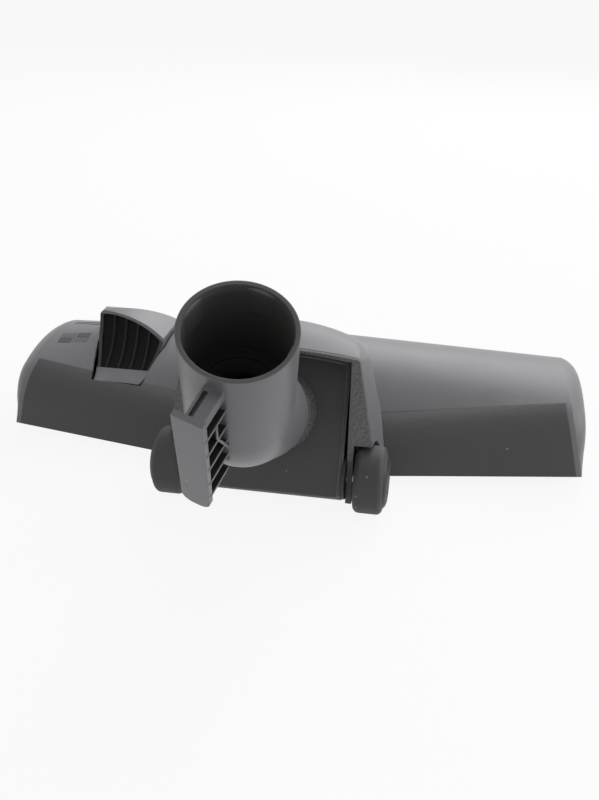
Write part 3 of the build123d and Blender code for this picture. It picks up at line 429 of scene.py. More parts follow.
def tube_plastic():
    """Satin tube plastic, with a darker rim, painted shade down the bore and painted shade between the hook's
    ribs.
    """
    made, tree, shader, dust_and_highlight = moulded_plastic(
        "tube satin", tube_grey, smooth=0.32, rough=0.44, stipple=2400.0, depth=0.06 * MM,
        drift=0.05, edge=0.3, specks=0.015,
    )
    offset = offset_from(tree, tube_mouth)
    span = reach_across(tree, offset, tube_dir)
    along = reach_along(tree, offset, tube_dir)
    out = reach_along(tree, offset, hook_out)
    side = reach_along(tree, offset, hook_side)
    rim = all_masks(
        tree,
        mask_up(tree, along, -0.5 * MM, -0.2 * MM),
        mask_down(tree, span, tube_outside - 0.3 * MM, tube_outside - 0.1 * MM),
    )
    shade = mix_colour(tree, rim, dust_and_highlight, rim_dark)
    # Painted shade in the pockets between the hook's ribs
    pocket = all_masks(
        tree,
        mask_up(tree, side, web_half - 0.1 * MM, web_half + 0.1 * MM),
        mask_down(tree, side, rib_reach - 0.3 * MM, rib_reach - 0.1 * MM),
        mask_down(tree, along, -hook_block - 0.2 * MM, -hook_block),
        mask_down(tree, out, flange_inside - 0.3 * MM, flange_inside),
        mask_up(tree, span, tube_outside + 0.1 * MM, tube_outside + 0.4 * MM),
    )
    shade = mix_colour(tree, pocket, shade, rib_pocket_shade)
    # Painted shade down the bore, darker deeper in, and on the step inside it
    inside = all_masks(
        tree,
        mask_down(tree, span, socket_radius + 0.1 * MM, socket_radius + 0.3 * MM),
        mask_up(tree, along, -socket_length - 1.0 * MM, -socket_length - 0.5 * MM),
    )
    deep = map_range(tree, along, -1.2 * MM, -4.0 * MM, 0.35, 1.0)
    painted_bore_mask = all_masks(tree, inside, deep)
    shade = mix_colour(tree, painted_bore_mask, shade, bore_shade)
    step = mask_up(tree, along, 0.5 * MM - socket_length, -socket_length)
    ledge = all_masks(tree, step, inside)
    link(tree, mix_colour(tree, ledge, shade, bore_step_shade), shader.inputs["Base Color"])
    dull = tree.nodes.new("ShaderNodeMix")
    link(tree, painted_bore_mask, dull.inputs["Factor"])
    link(tree, shader.inputs["Roughness"].links[0].from_socket, dull.inputs["A"])
    dull.inputs["B"].default_value = shaded_bore_rough
    link(tree, dull.outputs["Result"], shader.inputs["Roughness"])
    return made


def scoop_depth(tree):
    """Depth below the pedal's scoop, along the radius of its arc."""
    chord = scoop_crest - scoop_tail
    radius = (chord.length_squared / 4 + scoop_sag ** 2) / (2 * scoop_sag)
    down = Vector((chord.y, -chord.x)).normalized()
    centre = (scoop_crest + scoop_tail) / 2 - down * (radius - scoop_sag)
    offset = offset_from(tree, (0.0, centre.x, centre.y))
    return math_node(tree, "SUBTRACT", reach_across(tree, offset, (1.0, 0.0, 0.0)), radius)


def pedal_cap_plastic():
    """Cover plastic on the crest, going over to tread black on the rim round the tread."""
    made, tree, shader, dust_and_highlight = moulded_plastic(
        "pedal satin", satin_grey, smooth=0.3, rough=0.42, stipple=2600.0, depth=0.06 * MM,
        drift=0.05, edge=0.25, specks=0.0,
    )
    near = math_node(tree, "LESS_THAN", math_node(tree, "ABSOLUTE", scoop_depth(tree)), scoop_skin)
    x, y, z = split(tree, object_place(tree))
    run = mask_up(tree, x, pedal_low.x, pedal_high.x)
    sink = math_node(tree, "MULTIPLY", math_node(tree, "POWER", run, 2.0), crest_fall)
    crest = math_node(tree, "SUBTRACT", pedal_high.z - scoop_rim, sink)
    under = math_node(tree, "LESS_THAN", z, crest)
    ahead = mask_up(tree, y, ledge_edge - 0.2 * MM, ledge_edge)
    rim = all_masks(tree, near, under, ahead)
    link(tree, mix_colour(tree, rim, dust_and_highlight, tread_black), shader.inputs["Base Color"])
    return made


def tread_plastic():
    """Black tread, with a painted highlight on the tops of its ribs."""
    made, tree, shader, dust_and_highlight = moulded_plastic(
        "tread satin", tread_black, smooth=0.55, rough=0.7, stipple=1800.0, depth=0.1 * MM,
        drift=0.15, edge=0.04, specks=0.0, gloss=0.12,
    )
    # Painted highlight: rib tops near the scoop's surface are mixed towards a paler black
    paler_share = map_range(tree, scoop_depth(tree), 0.5 * MM, 0.2 * MM, 0.0, 0.7)
    link(tree, mix_colour(tree, paler_share, dust_and_highlight, rib_highlight), shader.inputs["Base Color"])
    return made


def skirt_plastic():
    """Grained lower body: finer on the skirts and coarser on the frame round the cradle, whose paler colour is
    painted light.
    """
    made, tree, shader, dust_and_highlight = moulded_plastic(
        "skirt grain", skirt_dark, smooth=0.46, rough=0.62, stipple=1250.0, depth=0.22 * MM,
        drift=0.12, edge=0.22, specks=0.03,
    )
    place = object_place(tree)
    x, y, _ = split(tree, place)
    # Painted light on the frame round the cradle, broken up by coarser grit
    zone = all_masks(
        tree,
        mask_down(tree, math_node(tree, "ABSOLUTE", x), frame_half - frame_blend, frame_half),
        mask_down(tree, y, frame_front - frame_blend, frame_front),
    )
    grit = noise(tree, place, scale=1100.0, detail=2.0)
    speckle = map_range(tree, grit, 0.35, 0.65, 0.35, 1.0)
    paler = all_masks(tree, zone, speckle)
    link(tree, mix_colour(tree, paler, dust_and_highlight, frame_painted_light), shader.inputs["Base Color"])
    return made


def collar_plastic():
    """Dark collar with a knurled band."""
    made, tree, shader, dust_and_highlight = moulded_plastic(
        "collar knurled", collar_dark, smooth=0.4, rough=0.55, stipple=1800.0, depth=0.1 * MM,
        drift=0.08, edge=0.2, specks=0.02,
    )
    band = use_group(tree, knurl, Ridges=knurl_ridges)
    paler_share = math_node(tree, "MULTIPLY", band.outputs["Mask"], 0.3)
    link(tree, mix_colour(tree, paler_share, dust_and_highlight, edge_pale), shader.inputs["Base Color"])
    bump(tree, shader, band.outputs["Height"], distance=0.2 * MM, strength=0.8)
    return made


def brushed_steel(name, stretch):
    """Steel with fine lines along its length."""
    made, tree, shader = start_material(name)
    place = object_place(tree)
    squeeze = add_node(tree, "ShaderNodeMapping", Scale=stretch)
    link(tree, place, squeeze.inputs["Vector"])
    lines = noise(tree, squeeze.outputs["Vector"], scale=900.0, detail=4.0, roughness=0.7)
    cloud = noise(tree, place, scale=45.0, detail=4.0)
    link(tree, mix_colour(tree, cloud, tint(steel_pale, 0.72), steel_pale), shader.inputs["Base Color"])
    link(tree, map_range(tree, lines, 0.3, 0.7, 0.22, 0.42), shader.inputs["Roughness"])
    shader.inputs["Metallic"].default_value = 1.0
    bump(tree, shader, lines, distance=0.03 * MM, strength=0.5)
    return made


def lifter_pile():
    """Short pile fabric that leans one way."""
    made, tree, shader = start_material("lifter pile")
    place = object_place(tree)
    fibre = noise(tree, place, scale=3200.0, detail=3.0)
    nap = noise(tree, place, scale=160.0, detail=4.0)
    shade = mask_up(tree, math_node(tree, "MULTIPLY", fibre, nap), 0.12, 0.38)
    link(tree, mix_colour(tree, shade, tint(pile_red, 0.45), pile_red), shader.inputs["Base Color"])
    link(tree, map_range(tree, nap, 0.3, 0.7, 0.75, 0.95), shader.inputs["Roughness"])
    shader.inputs["Sheen Weight"].default_value = 0.4
    bump(tree, shader, fibre, distance=0.3 * MM, strength=0.9)
    return made


def bristle_fibre():
    """Black fibre, paler and duller in places."""
    made, tree, shader = start_material("bristle fibre")
    strand = noise(tree, object_place(tree), scale=1400.0, detail=2.0)
    tone = mask_up(tree, strand, 0.35, 0.7)
    link(tree, mix_colour(tree, tone, bristle_black, tint(bristle_black, 3.5)), shader.inputs["Base Color"])
    link(tree, map_range(tree, strand, 0.3, 0.7, 0.35, 0.6), shader.inputs["Roughness"])
    return made


cover_satin = moulded_plastic(
    "cover satin", satin_grey, smooth=0.34, rough=0.46, stipple=2600.0, depth=0.06 * MM,
    drift=0.05, edge=0.25, specks=0.012,
)[0]
# Cradle: a wide, strong painted highlight along its edges
cradle_grain = moulded_plastic(
    "cradle grain", cradle_dark, smooth=0.44, rough=0.58, stipple=1500.0, depth=0.12 * MM,
    drift=0.1, edge=0.9, specks=0.03, radius=0.9 * MM,
)[0]
hub_satin = moulded_plastic(
    "hub satin", hub_dark, smooth=0.4, rough=0.55, stipple=1500.0, depth=0.1 * MM,
    drift=0.12, edge=0.12, specks=0.02,
)[0]
inner_plain = moulded_plastic(
    "inner plain", inner_dark, smooth=0.45, rough=0.6, stipple=1500.0, depth=0.1 * MM,
    drift=0.12, edge=0.1, specks=0.02,
)[0]
symbol_plain = moulded_plastic(
    "symbol dark", symbol_dark, smooth=0.4, rough=0.52, stipple=2200.0, depth=0.05 * MM,
    drift=0.08, edge=0.1, specks=0.0, radius=0.1 * MM,
)[0]
tyre_rubber = moulded_plastic(
    "tyre rubber", tyre_black, smooth=0.55, rough=0.72, stipple=900.0, depth=0.18 * MM,
    drift=0.18, edge=0.14, specks=0.05,
)[0]
tube_satin = tube_plastic()
pedal_satin = pedal_cap_plastic()
tread_satin = tread_plastic()
skirt_grain = skirt_plastic()
collar_knurled = collar_plastic()
sole_brushed = brushed_steel("sole steel", (0.02, 1.0, 1.0))
pin_bright = brushed_steel("pin steel", (1.0, 0.1, 0.1))
lifter_fabric = lifter_pile()
bristle_black_fibre = bristle_fibre()

finishes = {
    "upper_cover": cover_satin,
    "lower_body": skirt_grain,
    "sole_plate": sole_brushed,
    "housing_screws": pin_bright,
    "brush_carrier": inner_plain,
    "cradle": cradle_grain,
    "swivel_collar": collar_knurled,
    "elbow_tube": tube_satin,
    "swivel_seal": inner_plain,
    "retaining_clip": inner_plain,
    "pedal_cap": pedal_satin,
    "pedal_pad": tread_satin,
    "pedal_pin": pin_bright,
    "front_thread_lifter": lifter_fabric,
    "rear_thread_lifter": lifter_fabric,
    "front_brush": bristle_black_fibre,
    "rear_brush": bristle_black_fibre,
    "tyre_left": tyre_rubber,
    "tyre_right": tyre_rubber,
    "wheel_hub_left": hub_satin,
    "wheel_hub_right": hub_satin,
    "axle_left": pin_bright,
    "axle_right": pin_bright,
}
for name, material in finishes.items():
    nodes[name].data.materials.clear()
    nodes[name].data.materials.append(material)


# Meshes
def make_piece(name, mesh, body, material):
    """Object from a finished bmesh, riding on a body with a record slot's finish."""
    data = bpy.data.meshes.new(name)
    mesh.to_mesh(data)
    mesh.free()
    data.materials.append(material)
    piece = bpy.data.objects.new(name, data)
    bpy.context.scene.collection.objects.link(piece)
    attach(piece, body)
    return piece


def join_loops(mesh, near, far):
    """Faces between two point loops of equal length; a loop that is one point repeated gives triangles."""
    count = len(near)
    for index in range(count):
        after = (index + 1) % count
        corners = dict.fromkeys((near[index], near[after], far[after], far[index]))
        mesh.faces.new(tuple(corners))


def loop_edges(mesh, loop):
    """Edges between the neighbours of a closed point loop."""
    return [mesh.edges.get(pair) for pair in zip(loop, loop[1:] + loop[:1])]


def sweep_rings(mesh, rings):
    """Closed skin through point rings of equal length, with both ends capped."""
    loops = [[mesh.verts.new(point) for point in ring] for ring in rings]
    for near, far in zip(loops, loops[1:]):
        join_loops(mesh, near, far)
    mesh.faces.new(list(reversed(loops[0])))
    mesh.faces.new(loops[-1])


def circle(radius, height, steps):
    """Points round the Z axis at a height."""
    turns = [2 * math.pi * index / steps for index in range(steps)]
    return [Vector((radius * math.cos(turn), radius * math.sin(turn), height)) for turn in turns]


def lathe(mesh, origin, axis, profile, steps):
    """Turned skin: profile points are (radius, height along the axis), from pole to pole or round."""
    turn = Vector((0, 0, 1)).rotation_difference(axis)
    loops = []
    for radius, height in profile:
        if radius == 0:
            pole = mesh.verts.new(origin + turn @ Vector((0, 0, height)))
            loops.append([pole] * steps)
        else:
            loops.append([mesh.verts.new(origin + turn @ spot) for spot in circle(radius, height, steps)])
    if profile[0][0] > 0:
        loops.append(loops[0])
    for near, far in zip(loops, loops[1:]):
        join_loops(mesh, near, far)


def finish_mesh(mesh, smooth_angle=None):
    """Outward normals, and smooth shading below an angle in degrees."""
    bmesh.ops.recalc_face_normals(mesh, faces=mesh.faces)
    if smooth_angle is not None:
        for face in mesh.faces:
            face.smooth = True
        for edge in mesh.edges:
            edge.smooth = edge.calc_face_angle(0.0) < math.radians(smooth_angle)
    return mesh


# Floor signs moulded on the outer wing beside the pedal
sign_spot = (-113.2 * MM, -10.9 * MM)
sign_size = (14.6 * MM, 9.9 * MM)
sign_shear = 0.18
sign_margin = 0.03          # share of the sign left free at each end of a bar
sign_bars = 5
level_bar_width = 0.8 * MM
upright_bar_width = 0.62 * MM
sign_lift = 0.14 * MM
sign_sink = 0.2 * MM
sign_steps = 6
stripe_x = (-121.0 * MM, -108.0 * MM)
stripe_y = (8.5 * MM, 12.0 * MM)
stripe_width = 1.3 * MM
probe_height = 0.2


def cover_height(skin, x, y):
    """Height of the cover's outside at a place."""
    return skin.ray_cast(Vector((x, y, probe_height)), Vector((0, 0, -1)))[0].z


def draped_bar(mesh, skin, start, end, width):
    """Flat bar along the cover from start to end, each given as (x, y)."""
    start, end = Vector(start), Vector(end)
    along = (end - start).normalized()
    across = Vector((-along.y, along.x)) * (width / 2)
    rings = []
    for index in range(sign_steps + 1):
        spot = start.lerp(end, index / sign_steps)
        left, right = spot + across, spot - across
        left_z, right_z = cover_height(skin, *left), cover_height(skin, *right)
        rings.append(
            (
                (left.x, left.y, left_z - sign_sink),
                (right.x, right.y, right_z - sign_sink),
                (right.x, right.y, right_z + sign_lift),
                (left.x, left.y, left_z + sign_lift),
            )
        )
    sweep_rings(mesh, rings)


def sign_point(u, v):
    """Place on the hatched sign, with u and v from -0.5 to 0.5."""
    x = u * sign_size[0]
    return sign_spot[0] + x, sign_spot[1] + v * sign_size[1] + sign_shear * x


def make_signs():
    """Basket-weave hatch for hard floors and a pair of stripes for the other setting."""
    cover = nodes["upper_cover"].data
    skin = BVHTree.FromPolygons(
        [vertex.co for vertex in cover.vertices], [list(face.vertices) for face in cover.polygons]
    )
    hatch = bmesh.new()
    first, last = sign_margin, 0.5 - sign_margin
    for column, row in ((-0.5, 0.0), (0.0, 0.0), (-0.5, -0.5), (0.0, -0.5)):
        level = (column < 0) == (row < 0)
        for index in range(sign_bars):
            share = 0.5 * (index + 0.5) / sign_bars
            if level:
                start = sign_point(column + first, row + share)
                end = sign_point(column + last, row + share)
                draped_bar(hatch, skin, start, end, level_bar_width)
            else:
                start = sign_point(column + share, row + first)
                end = sign_point(column + share, row + last)
                draped_bar(hatch, skin, start, end, upright_bar_width)
    make_piece("hard_floor_sign", finish_mesh(hatch), "base", symbol_plain)
    stripes = bmesh.new()
    for y in stripe_y:
        draped_bar(stripes, skin, (stripe_x[0], y), (stripe_x[1], y), stripe_width)
    make_piece("carpet_sign", finish_mesh(stripes), "base", symbol_plain)


# Brushes
tuft_pitch = 5.0 * MM
tuft_length = 3.4 * MM
tuft_depth = 3.6 * MM
tuft_fibres = 30
rail_height = 3.5 * MM
rail_bevel = 0.5 * MM
fibre_sides = 3
fibre_root = 0.15 * MM
fibre_tip = 0.07 * MM
fibre_splay = 0.9 * MM
fibre_stray = 0.3
fibre_uneven = 0.8 * MM
fibre_stations = (0.0, 0.4, 0.75, 1.0)


def fibre_ring(spot, radius):
    return [spot + point for point in circle(radius, 0.0, fibre_sides)]


def make_brush(node, seed):
    """Backing rail with tufts of splayed fibres, in place of a plain brush solid."""
    low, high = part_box(node)
    dice = random.Random(seed)
    mesh = bmesh.new()
    middle = (low[1] + high[1]) / 2
    half = (high[1] - low[1]) / 2
    rail_z = high[2] - rail_height
    section = (
        (-half, high[2]),
        (-half, rail_z + rail_bevel),
        (rail_bevel - half, rail_z),
        (half - rail_bevel, rail_z),
        (half, rail_z + rail_bevel),
        (half, high[2]),
    )
    sweep_rings(mesh, [[(x, middle + y, z) for y, z in section] for x in (low[0], high[0])])
    length = high[0] - low[0]
    count = int((length - tuft_length) // tuft_pitch) + 1
    centre = (low[0] + high[0]) / 2
    for tuft in range(count):
        tuft_x = centre + (tuft - (count - 1) / 2) * tuft_pitch
        for _ in range(tuft_fibres):
            u, v = dice.uniform(-0.5, 0.5), dice.uniform(-0.5, 0.5)
            root = Vector((tuft_x + u * tuft_length, middle + v * tuft_depth, rail_z + rail_bevel))
            lean_x = u + dice.uniform(-fibre_stray, fibre_stray)
            lean_y = v + dice.uniform(-fibre_stray, fibre_stray)
            lean = Vector((lean_x, lean_y, 0)) * (2 * fibre_splay)
            drop = root.z - low[2] - dice.uniform(0, fibre_uneven)
            rings = []
            for share in fibre_stations:
                spot = root + lean * share * share - Vector((0, 0, drop * share))
                rings.append(fibre_ring(spot, fibre_root + (fibre_tip - fibre_root) * share))
            sweep_rings(mesh, rings)
    brush = make_piece(node + "_bristles", finish_mesh(mesh), "brush", bristle_black_fibre)
    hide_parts(node)


# Thread lifters
pile_pitch = 0.7 * MM
pile_backing = 0.45 * MM
pile_lean = 0.35 * MM
pile_root = 0.16 * MM
pile_uneven = 0.1
pile_scatter = (0.2, 0.8)


def make_lifter(node, lean_way, seed):
    """Backing strip with slanted pile, in place of a plain fabric strip."""
    low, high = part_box(node)
    dice = random.Random(seed)
    mesh = bmesh.new()
    backing_z = high[2] - pile_backing
    ring = ((low[1], backing_z), (high[1], backing_z), (high[1], high[2]), (low[1], high[2]))
    sweep_rings(mesh, [[(x, y, z) for y, z in ring] for x in (low[0], high[0])])
    columns = int((high[0] - low[0]) / pile_pitch)
    rows = int((high[1] - low[1]) / pile_pitch)
    for column in range(columns):
        for row in range(rows):
            x = low[0] + (column + dice.uniform(*pile_scatter)) * pile_pitch
            y = low[1] + (row + dice.uniform(*pile_scatter)) * pile_pitch
            tip_z = low[2] + dice.uniform(0.0, pile_uneven) * MM
            tip_y = min(max(y + lean_way * pile_lean, low[1]), high[1])
            root = fibre_ring(Vector((x, y, backing_z + pile_root)), pile_root)
            corners = [mesh.verts.new(point) for point in root]
            tip = mesh.verts.new((x, tip_y, tip_z))
            mesh.faces.new(corners)
            join_loops(mesh, corners, [tip] * fibre_sides)
    lifter = make_piece(node + "_pile", finish_mesh(mesh), "base", lifter_fabric)
    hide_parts(node)


# Housing screws
recess_arm = 1.9 * MM
recess_half = 0.42 * MM
recess_depth = 0.9 * MM
recess_taper = 0.65
head_edge = 0.35 * MM
head_height = 1.6 * MM
shank_radius = 1.5 * MM
screw_tip = 1.2 * MM
screw_sides = 24
screw_smooth = 40.0
weld_distance = 1e-6


def screw_islands():
    """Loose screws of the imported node, as (middle, head radius, low end, high end)."""
    mesh = bmesh.new()
    mesh.from_mesh(nodes["housing_screws"].data)
    bmesh.ops.remove_doubles(mesh, verts=mesh.verts, dist=weld_distance)
    left = set(mesh.verts)
    found = []
    while left:
        island, edge = set(), [min(left, key=lambda vertex: vertex.index)]
        while edge:
            vertex = edge.pop()
            if vertex not in island:
                island.add(vertex)
                edge.extend(part.other_vert(vertex) for part in vertex.link_edges)
        left -= island
        lows = [min(vertex.co[axis] for vertex in island) for axis in range(3)]
        highs = [max(vertex.co[axis] for vertex in island) for axis in range(3)]
        middle = Vector(((lows[0] + highs[0]) / 2, (lows[1] + highs[1]) / 2, 0))
        found.append((middle, (highs[0] - lows[0]) / 2, lows[2], highs[2]))
    mesh.free()
    return sorted(found, key=lambda screw: tuple(screw[0]))


def recess_outline(scale, z, middle):
    """Outline of the cross recess, anticlockwise."""
    arm, half = recess_arm * scale, recess_half * scale
    quarter = [(arm, -half), (arm, half), (half, half)]
    points = []
    for turn in range(4):
        for x, y in quarter:
            for _ in range(turn):
                x, y = -y, x
            points.append(Vector((middle.x + x, middle.y + y, z)))
    return points


def make_screws():
    """Pan-head screws with a cross recess, in place of the plain packed ones."""
    mesh = bmesh.new()
    for middle, radius, low, high in screw_islands():
        profile = (
            (radius - head_edge, low),
            (radius, low + head_edge),
            (radius, low + head_height),
            (shank_radius, low + head_height),
            (shank_radius, high - screw_tip),
        )
        loops = []
        for reach, z in profile:
            loops.append([mesh.verts.new(middle + spot) for spot in circle(reach, z, screw_sides)])
        point = mesh.verts.new((middle.x, middle.y, high))
        loops.append([point] * screw_sides)
        for near, far in zip(loops, loops[1:]):
            join_loops(mesh, near, far)
        lip = [mesh.verts.new(spot) for spot in recess_outline(1.0, low, middle)]
        floor = [mesh.verts.new(spot) for spot in recess_outline(recess_taper, low + recess_depth, middle)]
        join_loops(mesh, lip, floor)
        mesh.faces.new(floor)
        border = loop_edges(mesh, loops[0]) + loop_edges(mesh, lip)
        bmesh.ops.triangle_fill(mesh, use_beauty=True, use_dissolve=False, edges=border)
    finish_mesh(mesh, screw_smooth)
    screws = make_piece("cross_head_screws", mesh, "base", pin_bright)
    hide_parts("housing_screws")


# Locking flats just inside the tube mouth, and the catch on the hook's ribs
flat_reach = 16.85 * MM
flat_top = 0.7 * MM
flat_lead = 1.6 * MM
flat_length = 13.0 * MM
flat_sink = 0.25 * MM
flat_turns = (2.0, 92.0, -178.0, -97.0)
flat_steps = 8
# Path of the catch in mm: out from the tube's axis, and along the tube from its mouth
catch_path = ((24.8, -15.2), (24.8, -22.6), (24.3, -24.8), (23.0, -27.6), (18.0, -40.0))
catch_side = (3.6 * MM, 5.8 * MM)
catch_half = 0.45 * MM


def flat_ring(turn, reach, depth):
    """Section of a flat: the chord inside the bore and an arc sunk in its wall."""
    wall = socket_radius + flat_sink
    spread = math.acos(reach / wall)
    points = []
    for index in range(flat_steps + 1):
        angle = math.radians(turn) - spread + 2 * spread * index / flat_steps
        points.append(
            tube_mouth
            - tube_dir * depth
            + hook_out * (wall * math.cos(angle))
            + hook_side * (wall * math.sin(angle))
        )
    return points


def make_socket_flats():
    """Flats round the bore, each with a short lead-in."""
    mesh = bmesh.new()
    for turn in flat_turns:
        rings = [
            flat_ring(turn, socket_radius, flat_top),
            flat_ring(turn, flat_reach, flat_lead),
            flat_ring(turn, flat_reach, flat_length),
        ]
        sweep_rings(mesh, rings)
    make_piece("socket_flats", finish_mesh(mesh), "elbow", tube_satin)


def make_hook_catch():
    """Bent spring tongue across the hook's ribs, running down to the tube."""
    mesh = bmesh.new()
    path = [Vector(point) * MM for point in catch_path]
    rings = []
    for index, spot in enumerate(path):
        before, after = path[max(index - 1, 0)], path[min(index + 1, len(path) - 1)]
        along = (after - before).normalized()
        across = Vector((along.y, -along.x)) * catch_half
        ring = []
        for side, way in ((0, -1), (1, -1), (1, 1), (0, 1)):
            edge = spot + across * way
            ring.append(tube_mouth + hook_out * edge.x + tube_dir * edge.y + hook_side * catch_side[side])
        rings.append(ring)
    sweep_rings(mesh, rings)
    make_piece("hook_catch", finish_mesh(mesh), "elbow", tube_satin)


# Lattice on the swivel collar, along its cone from foot to top, as (radius, height)
lattice_foot = Vector((18.3, 0.5)) * MM
lattice_top = Vector((16.42, 4.7)) * MM
lattice_count = 46
lattice_climb = 26.0
lattice_half = 0.17 * MM
lattice_lift = 0.22 * MM
lattice_steps = 5


def make_collar_lattice():
    """Crossing ridges round the collar."""
    mesh = bmesh.new()
    turn = Vector((0, 0, 1)).rotation_difference(swivel_dir)
    slope = (lattice_top - lattice_foot).normalized()
    for way in (-1, 1):
        for ridge in range(lattice_count):
            rings = []
            for step in range(lattice_steps + 1):
                share = step / lattice_steps
                radius, height = lattice_foot.lerp(lattice_top, share)
                angle = 2 * math.pi * ridge / lattice_count + way * math.radians(lattice_climb) * share
                ring = []
                for side, level in ((-1, -1), (1, -1), (1, 1), (-1, 1)):
                    bent = angle + side * lattice_half / radius
                    reach = radius + level * lattice_lift * slope.y
                    rise = height - level * lattice_lift * slope.x
                    spot = Vector((reach * math.cos(bent), reach * math.sin(bent), rise))
                    ring.append(swivel_spot + turn @ spot)
                rings.append(ring)
            sweep_rings(mesh, rings)
    make_piece("collar_lattice", finish_mesh(mesh), "cradle", collar_knurled)


# Domed wheel covers with a ring of ribs, profiles in mm as (radius, height over the tyre's face)
dome_profile = (
    (0.0, 1.8),
    (2.6, 1.8),
    (3.1, 1.2),
    (7.4, 1.2),
    (7.8, 1.7),
    (9.2, 1.6),
    (10.6, 1.1),
    (11.6, 0.3),
    (11.9, -0.3),
    (0.0, -0.3),
)
dome_sides = 48
dome_rib_count = 14
dome_rib = ((4.2, 1.1), (6.9, 1.1))
dome_rib_half = 0.55 * MM
dome_rib_lift = 0.55 * MM
turned_smooth = 35.0

# Washers between the cradle and the bracket legs
pivot_gap = 1.5 * MM
washer_radius = 9.6 * MM
washer_bore = 2.8 * MM
washer_gap = 0.15 * MM
washer_sides = 40


def make_wheel_cover(side):
    """Domed cover on a wheel's outer face."""
    name = "right" if side > 0 else "left"
    low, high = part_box("tyre_" + name)
    face = Vector((high[0] if side > 0 else low[0], wheel_centre.y, wheel_centre.z))
    out = Vector((side, 0, 0))
    mesh = bmesh.new()
    profile = [(radius * MM, height * MM) for radius, height in dome_profile]
    lathe(mesh, face, out, profile, dome_sides)
    turn = Vector((0, 0, 1)).rotation_difference(out)
    top = Vector((0, 0, dome_rib_lift))
    for rib in range(dome_rib_count):
        angle = 2 * math.pi * rib / dome_rib_count
        along = Vector((math.cos(angle), math.sin(angle), 0))
        across = Vector((-along.y, along.x, 0)) * dome_rib_half
        rings = []
        for radius, height in dome_rib:
            spot = along * radius * MM + Vector((0, 0, height * MM))
            ring = (spot - across, spot + across, spot + across / 2 + top, spot - across / 2 + top)
            rings.append([face + turn @ point for point in ring])
        sweep_rings(mesh, rings)
    finish_mesh(mesh, turned_smooth)
    make_piece("wheel_cover_" + name, mesh, "wheel_" + name, hub_satin)


def make_pivot_washers():
    """Thin washers that fill the gap between the cradle and the bracket legs at the axle."""
    low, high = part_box("cradle")
    mesh = bmesh.new()
    inner, outer = washer_gap, pivot_gap - washer_gap
    profile = ((washer_bore, inner), (washer_radius, inner), (washer_radius, outer), (washer_bore, outer))
    for side, face in ((-1, low[0]), (1, high[0])):
        origin = Vector((face, wheel_centre.y, wheel_centre.z))
        lathe(mesh, origin, Vector((side, 0, 0)), profile, washer_sides)
    finish_mesh(mesh, turned_smooth)
    make_piece("pivot_washers", mesh, "cradle", inner_plain)


make_signs()
make_brush("front_brush", 11)
make_brush("rear_brush", 12)
make_lifter("front_thread_lifter", -1, 13)
make_lifter("rear_thread_lifter", 1, 14)
make_screws()
make_socket_flats()
make_hook_catch()
make_collar_lattice()
make_wheel_cover(-1)
make_wheel_cover(1)
make_pivot_washers()

# Floor and light; softboxes are given as name, place, size and power
floor_size = 12.0
floor_drop = 0.0002
floor_pale = (0.86, 0.86, 0.86, 1.0)
floor_glow = 0.9
studio_white = (1.0, 1.0, 1.0, 1.0)
fill_reach = 0.8
fill_left = 0.34
fill_right = 0.56
light_aim = Vector((0.0, -0.05, 0.03))
softboxes = (
    ("front softbox", (0.25, 0.9, 0.85), 1.0, 8.0),
    ("side softbox", (0.9, 0.1, 0.45), 0.6, 2.5),
)


def floor_material():
    """Pale floor that looks nearly white and keeps the shadow; under the head it doesn't glow."""
    made = bpy.data.materials.new("pale floor")
    made.use_nodes = True
    tree = made.node_tree
    tree.nodes.clear()
    matt = add_node(tree, "ShaderNodeBsdfDiffuse", Color=floor_pale)
    white = add_node(tree, "ShaderNodeEmission", Color=studio_white, Strength=1.0)
    low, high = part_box("brush_carrier")
    x, y, _ = split(tree, tree.nodes.new("ShaderNodeNewGeometry").outputs["Position"])
    covered = all_masks(
        tree,
        math_node(tree, "GREATER_THAN", x, low[0]),
        math_node(tree, "LESS_THAN", x, high[0]),
        math_node(tree, "GREATER_THAN", y, low[1]),
        math_node(tree, "LESS_THAN", y, high[1]),
    )
    glow = math_node(tree, "MULTIPLY", seen_rays(tree), floor_glow)
    share = math_node(tree, "MULTIPLY", glow, math_node(tree, "SUBTRACT", 1.0, covered))
    mix = tree.nodes.new("ShaderNodeMixShader")
    link(tree, share, mix.inputs["Fac"])
    link(tree, matt.outputs["BSDF"], mix.inputs[1])
    link(tree, white.outputs["Emission"], mix.inputs[2])
    output = tree.nodes.new("ShaderNodeOutputMaterial")
    link(tree, mix.outputs["Shader"], output.inputs["Surface"])
    return made


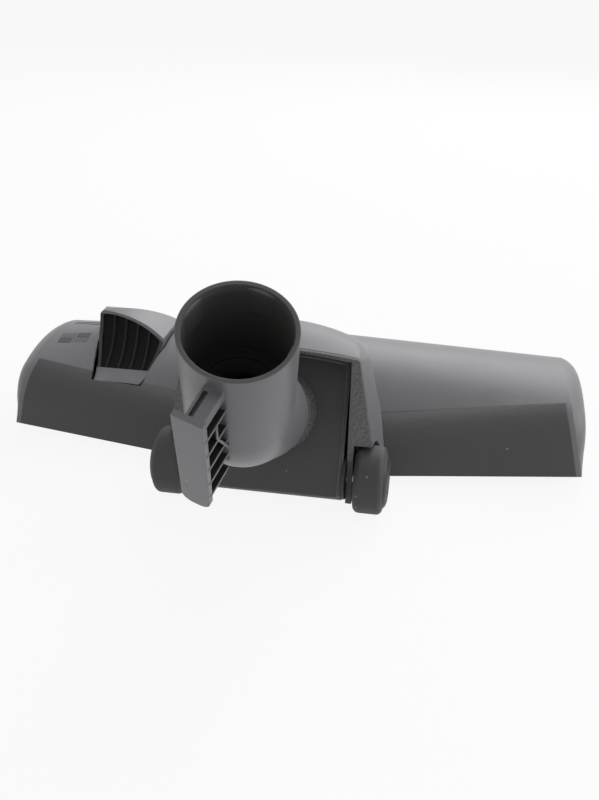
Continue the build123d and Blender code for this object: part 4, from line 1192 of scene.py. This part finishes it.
def lay_floor():
    mesh = bmesh.new()
    bmesh.ops.create_grid(mesh, x_segments=1, y_segments=1, size=floor_size)
    data = bpy.data.meshes.new("floor")
    mesh.to_mesh(data)
    mesh.free()
    data.materials.append(floor_material())
    floor = bpy.data.objects.new("floor", data)
    floor.location.z = -floor_drop
    bpy.context.scene.collection.objects.link(floor)


def light_room():
    """White background with a soft fill that is stronger from the right, and two softboxes."""
    world = bpy.data.worlds.new("studio")
    bpy.context.scene.world = world
    world.use_nodes = True
    tree = world.node_tree
    tree.nodes.clear()
    seen = seen_rays(tree)
    sky = add_node(tree, "ShaderNodeBackground", Color=studio_white)
    x, _, _ = split(tree, tree.nodes.new("ShaderNodeTexCoord").outputs["Generated"])
    fill = map_range(tree, x, -fill_reach, fill_reach, fill_left, fill_right)
    unseen = math_node(tree, "MULTIPLY", fill, math_node(tree, "SUBTRACT", 1.0, seen))
    link(tree, math_node(tree, "ADD", unseen, seen), sky.inputs["Strength"])
    output = tree.nodes.new("ShaderNodeOutputWorld")
    link(tree, sky.outputs["Background"], output.inputs["Surface"])
    for name, spot, size, power in softboxes:
        lamp = bpy.data.lights.new(name, "AREA")
        lamp.shape = "SQUARE"
        lamp.size = size
        lamp.energy = power
        holder = bpy.data.objects.new(name, lamp)
        holder.location = spot
        holder.rotation_mode = "QUATERNION"
        holder.rotation_quaternion = (light_aim - Vector(spot)).to_track_quat("-Z", "Y")
        bpy.context.scene.collection.objects.link(holder)


def set_camera():
    data = bpy.data.cameras.new("camera")
    data.lens = camera_lens
    data.sensor_width = camera_sensor
    data.clip_start = camera_near
    data.clip_end = camera_far
    camera = bpy.data.objects.new("camera", data)
    turn, tip = math.radians(camera_azimuth), math.radians(camera_elevation)
    look = Vector((-math.sin(turn) * math.cos(tip), math.cos(turn) * math.cos(tip), -math.sin(tip)))
    camera.location = camera_spot
    camera.rotation_mode = "QUATERNION"
    roll = Quaternion((0, 0, 1), math.radians(camera_roll))
    camera.rotation_quaternion = look.to_track_quat("-Z", "Y") @ roll
    bpy.context.scene.collection.objects.link(camera)
    bpy.context.scene.camera = camera


lay_floor()
light_room()
set_camera()
bpy.context.scene.view_settings.view_transform = "Standard"
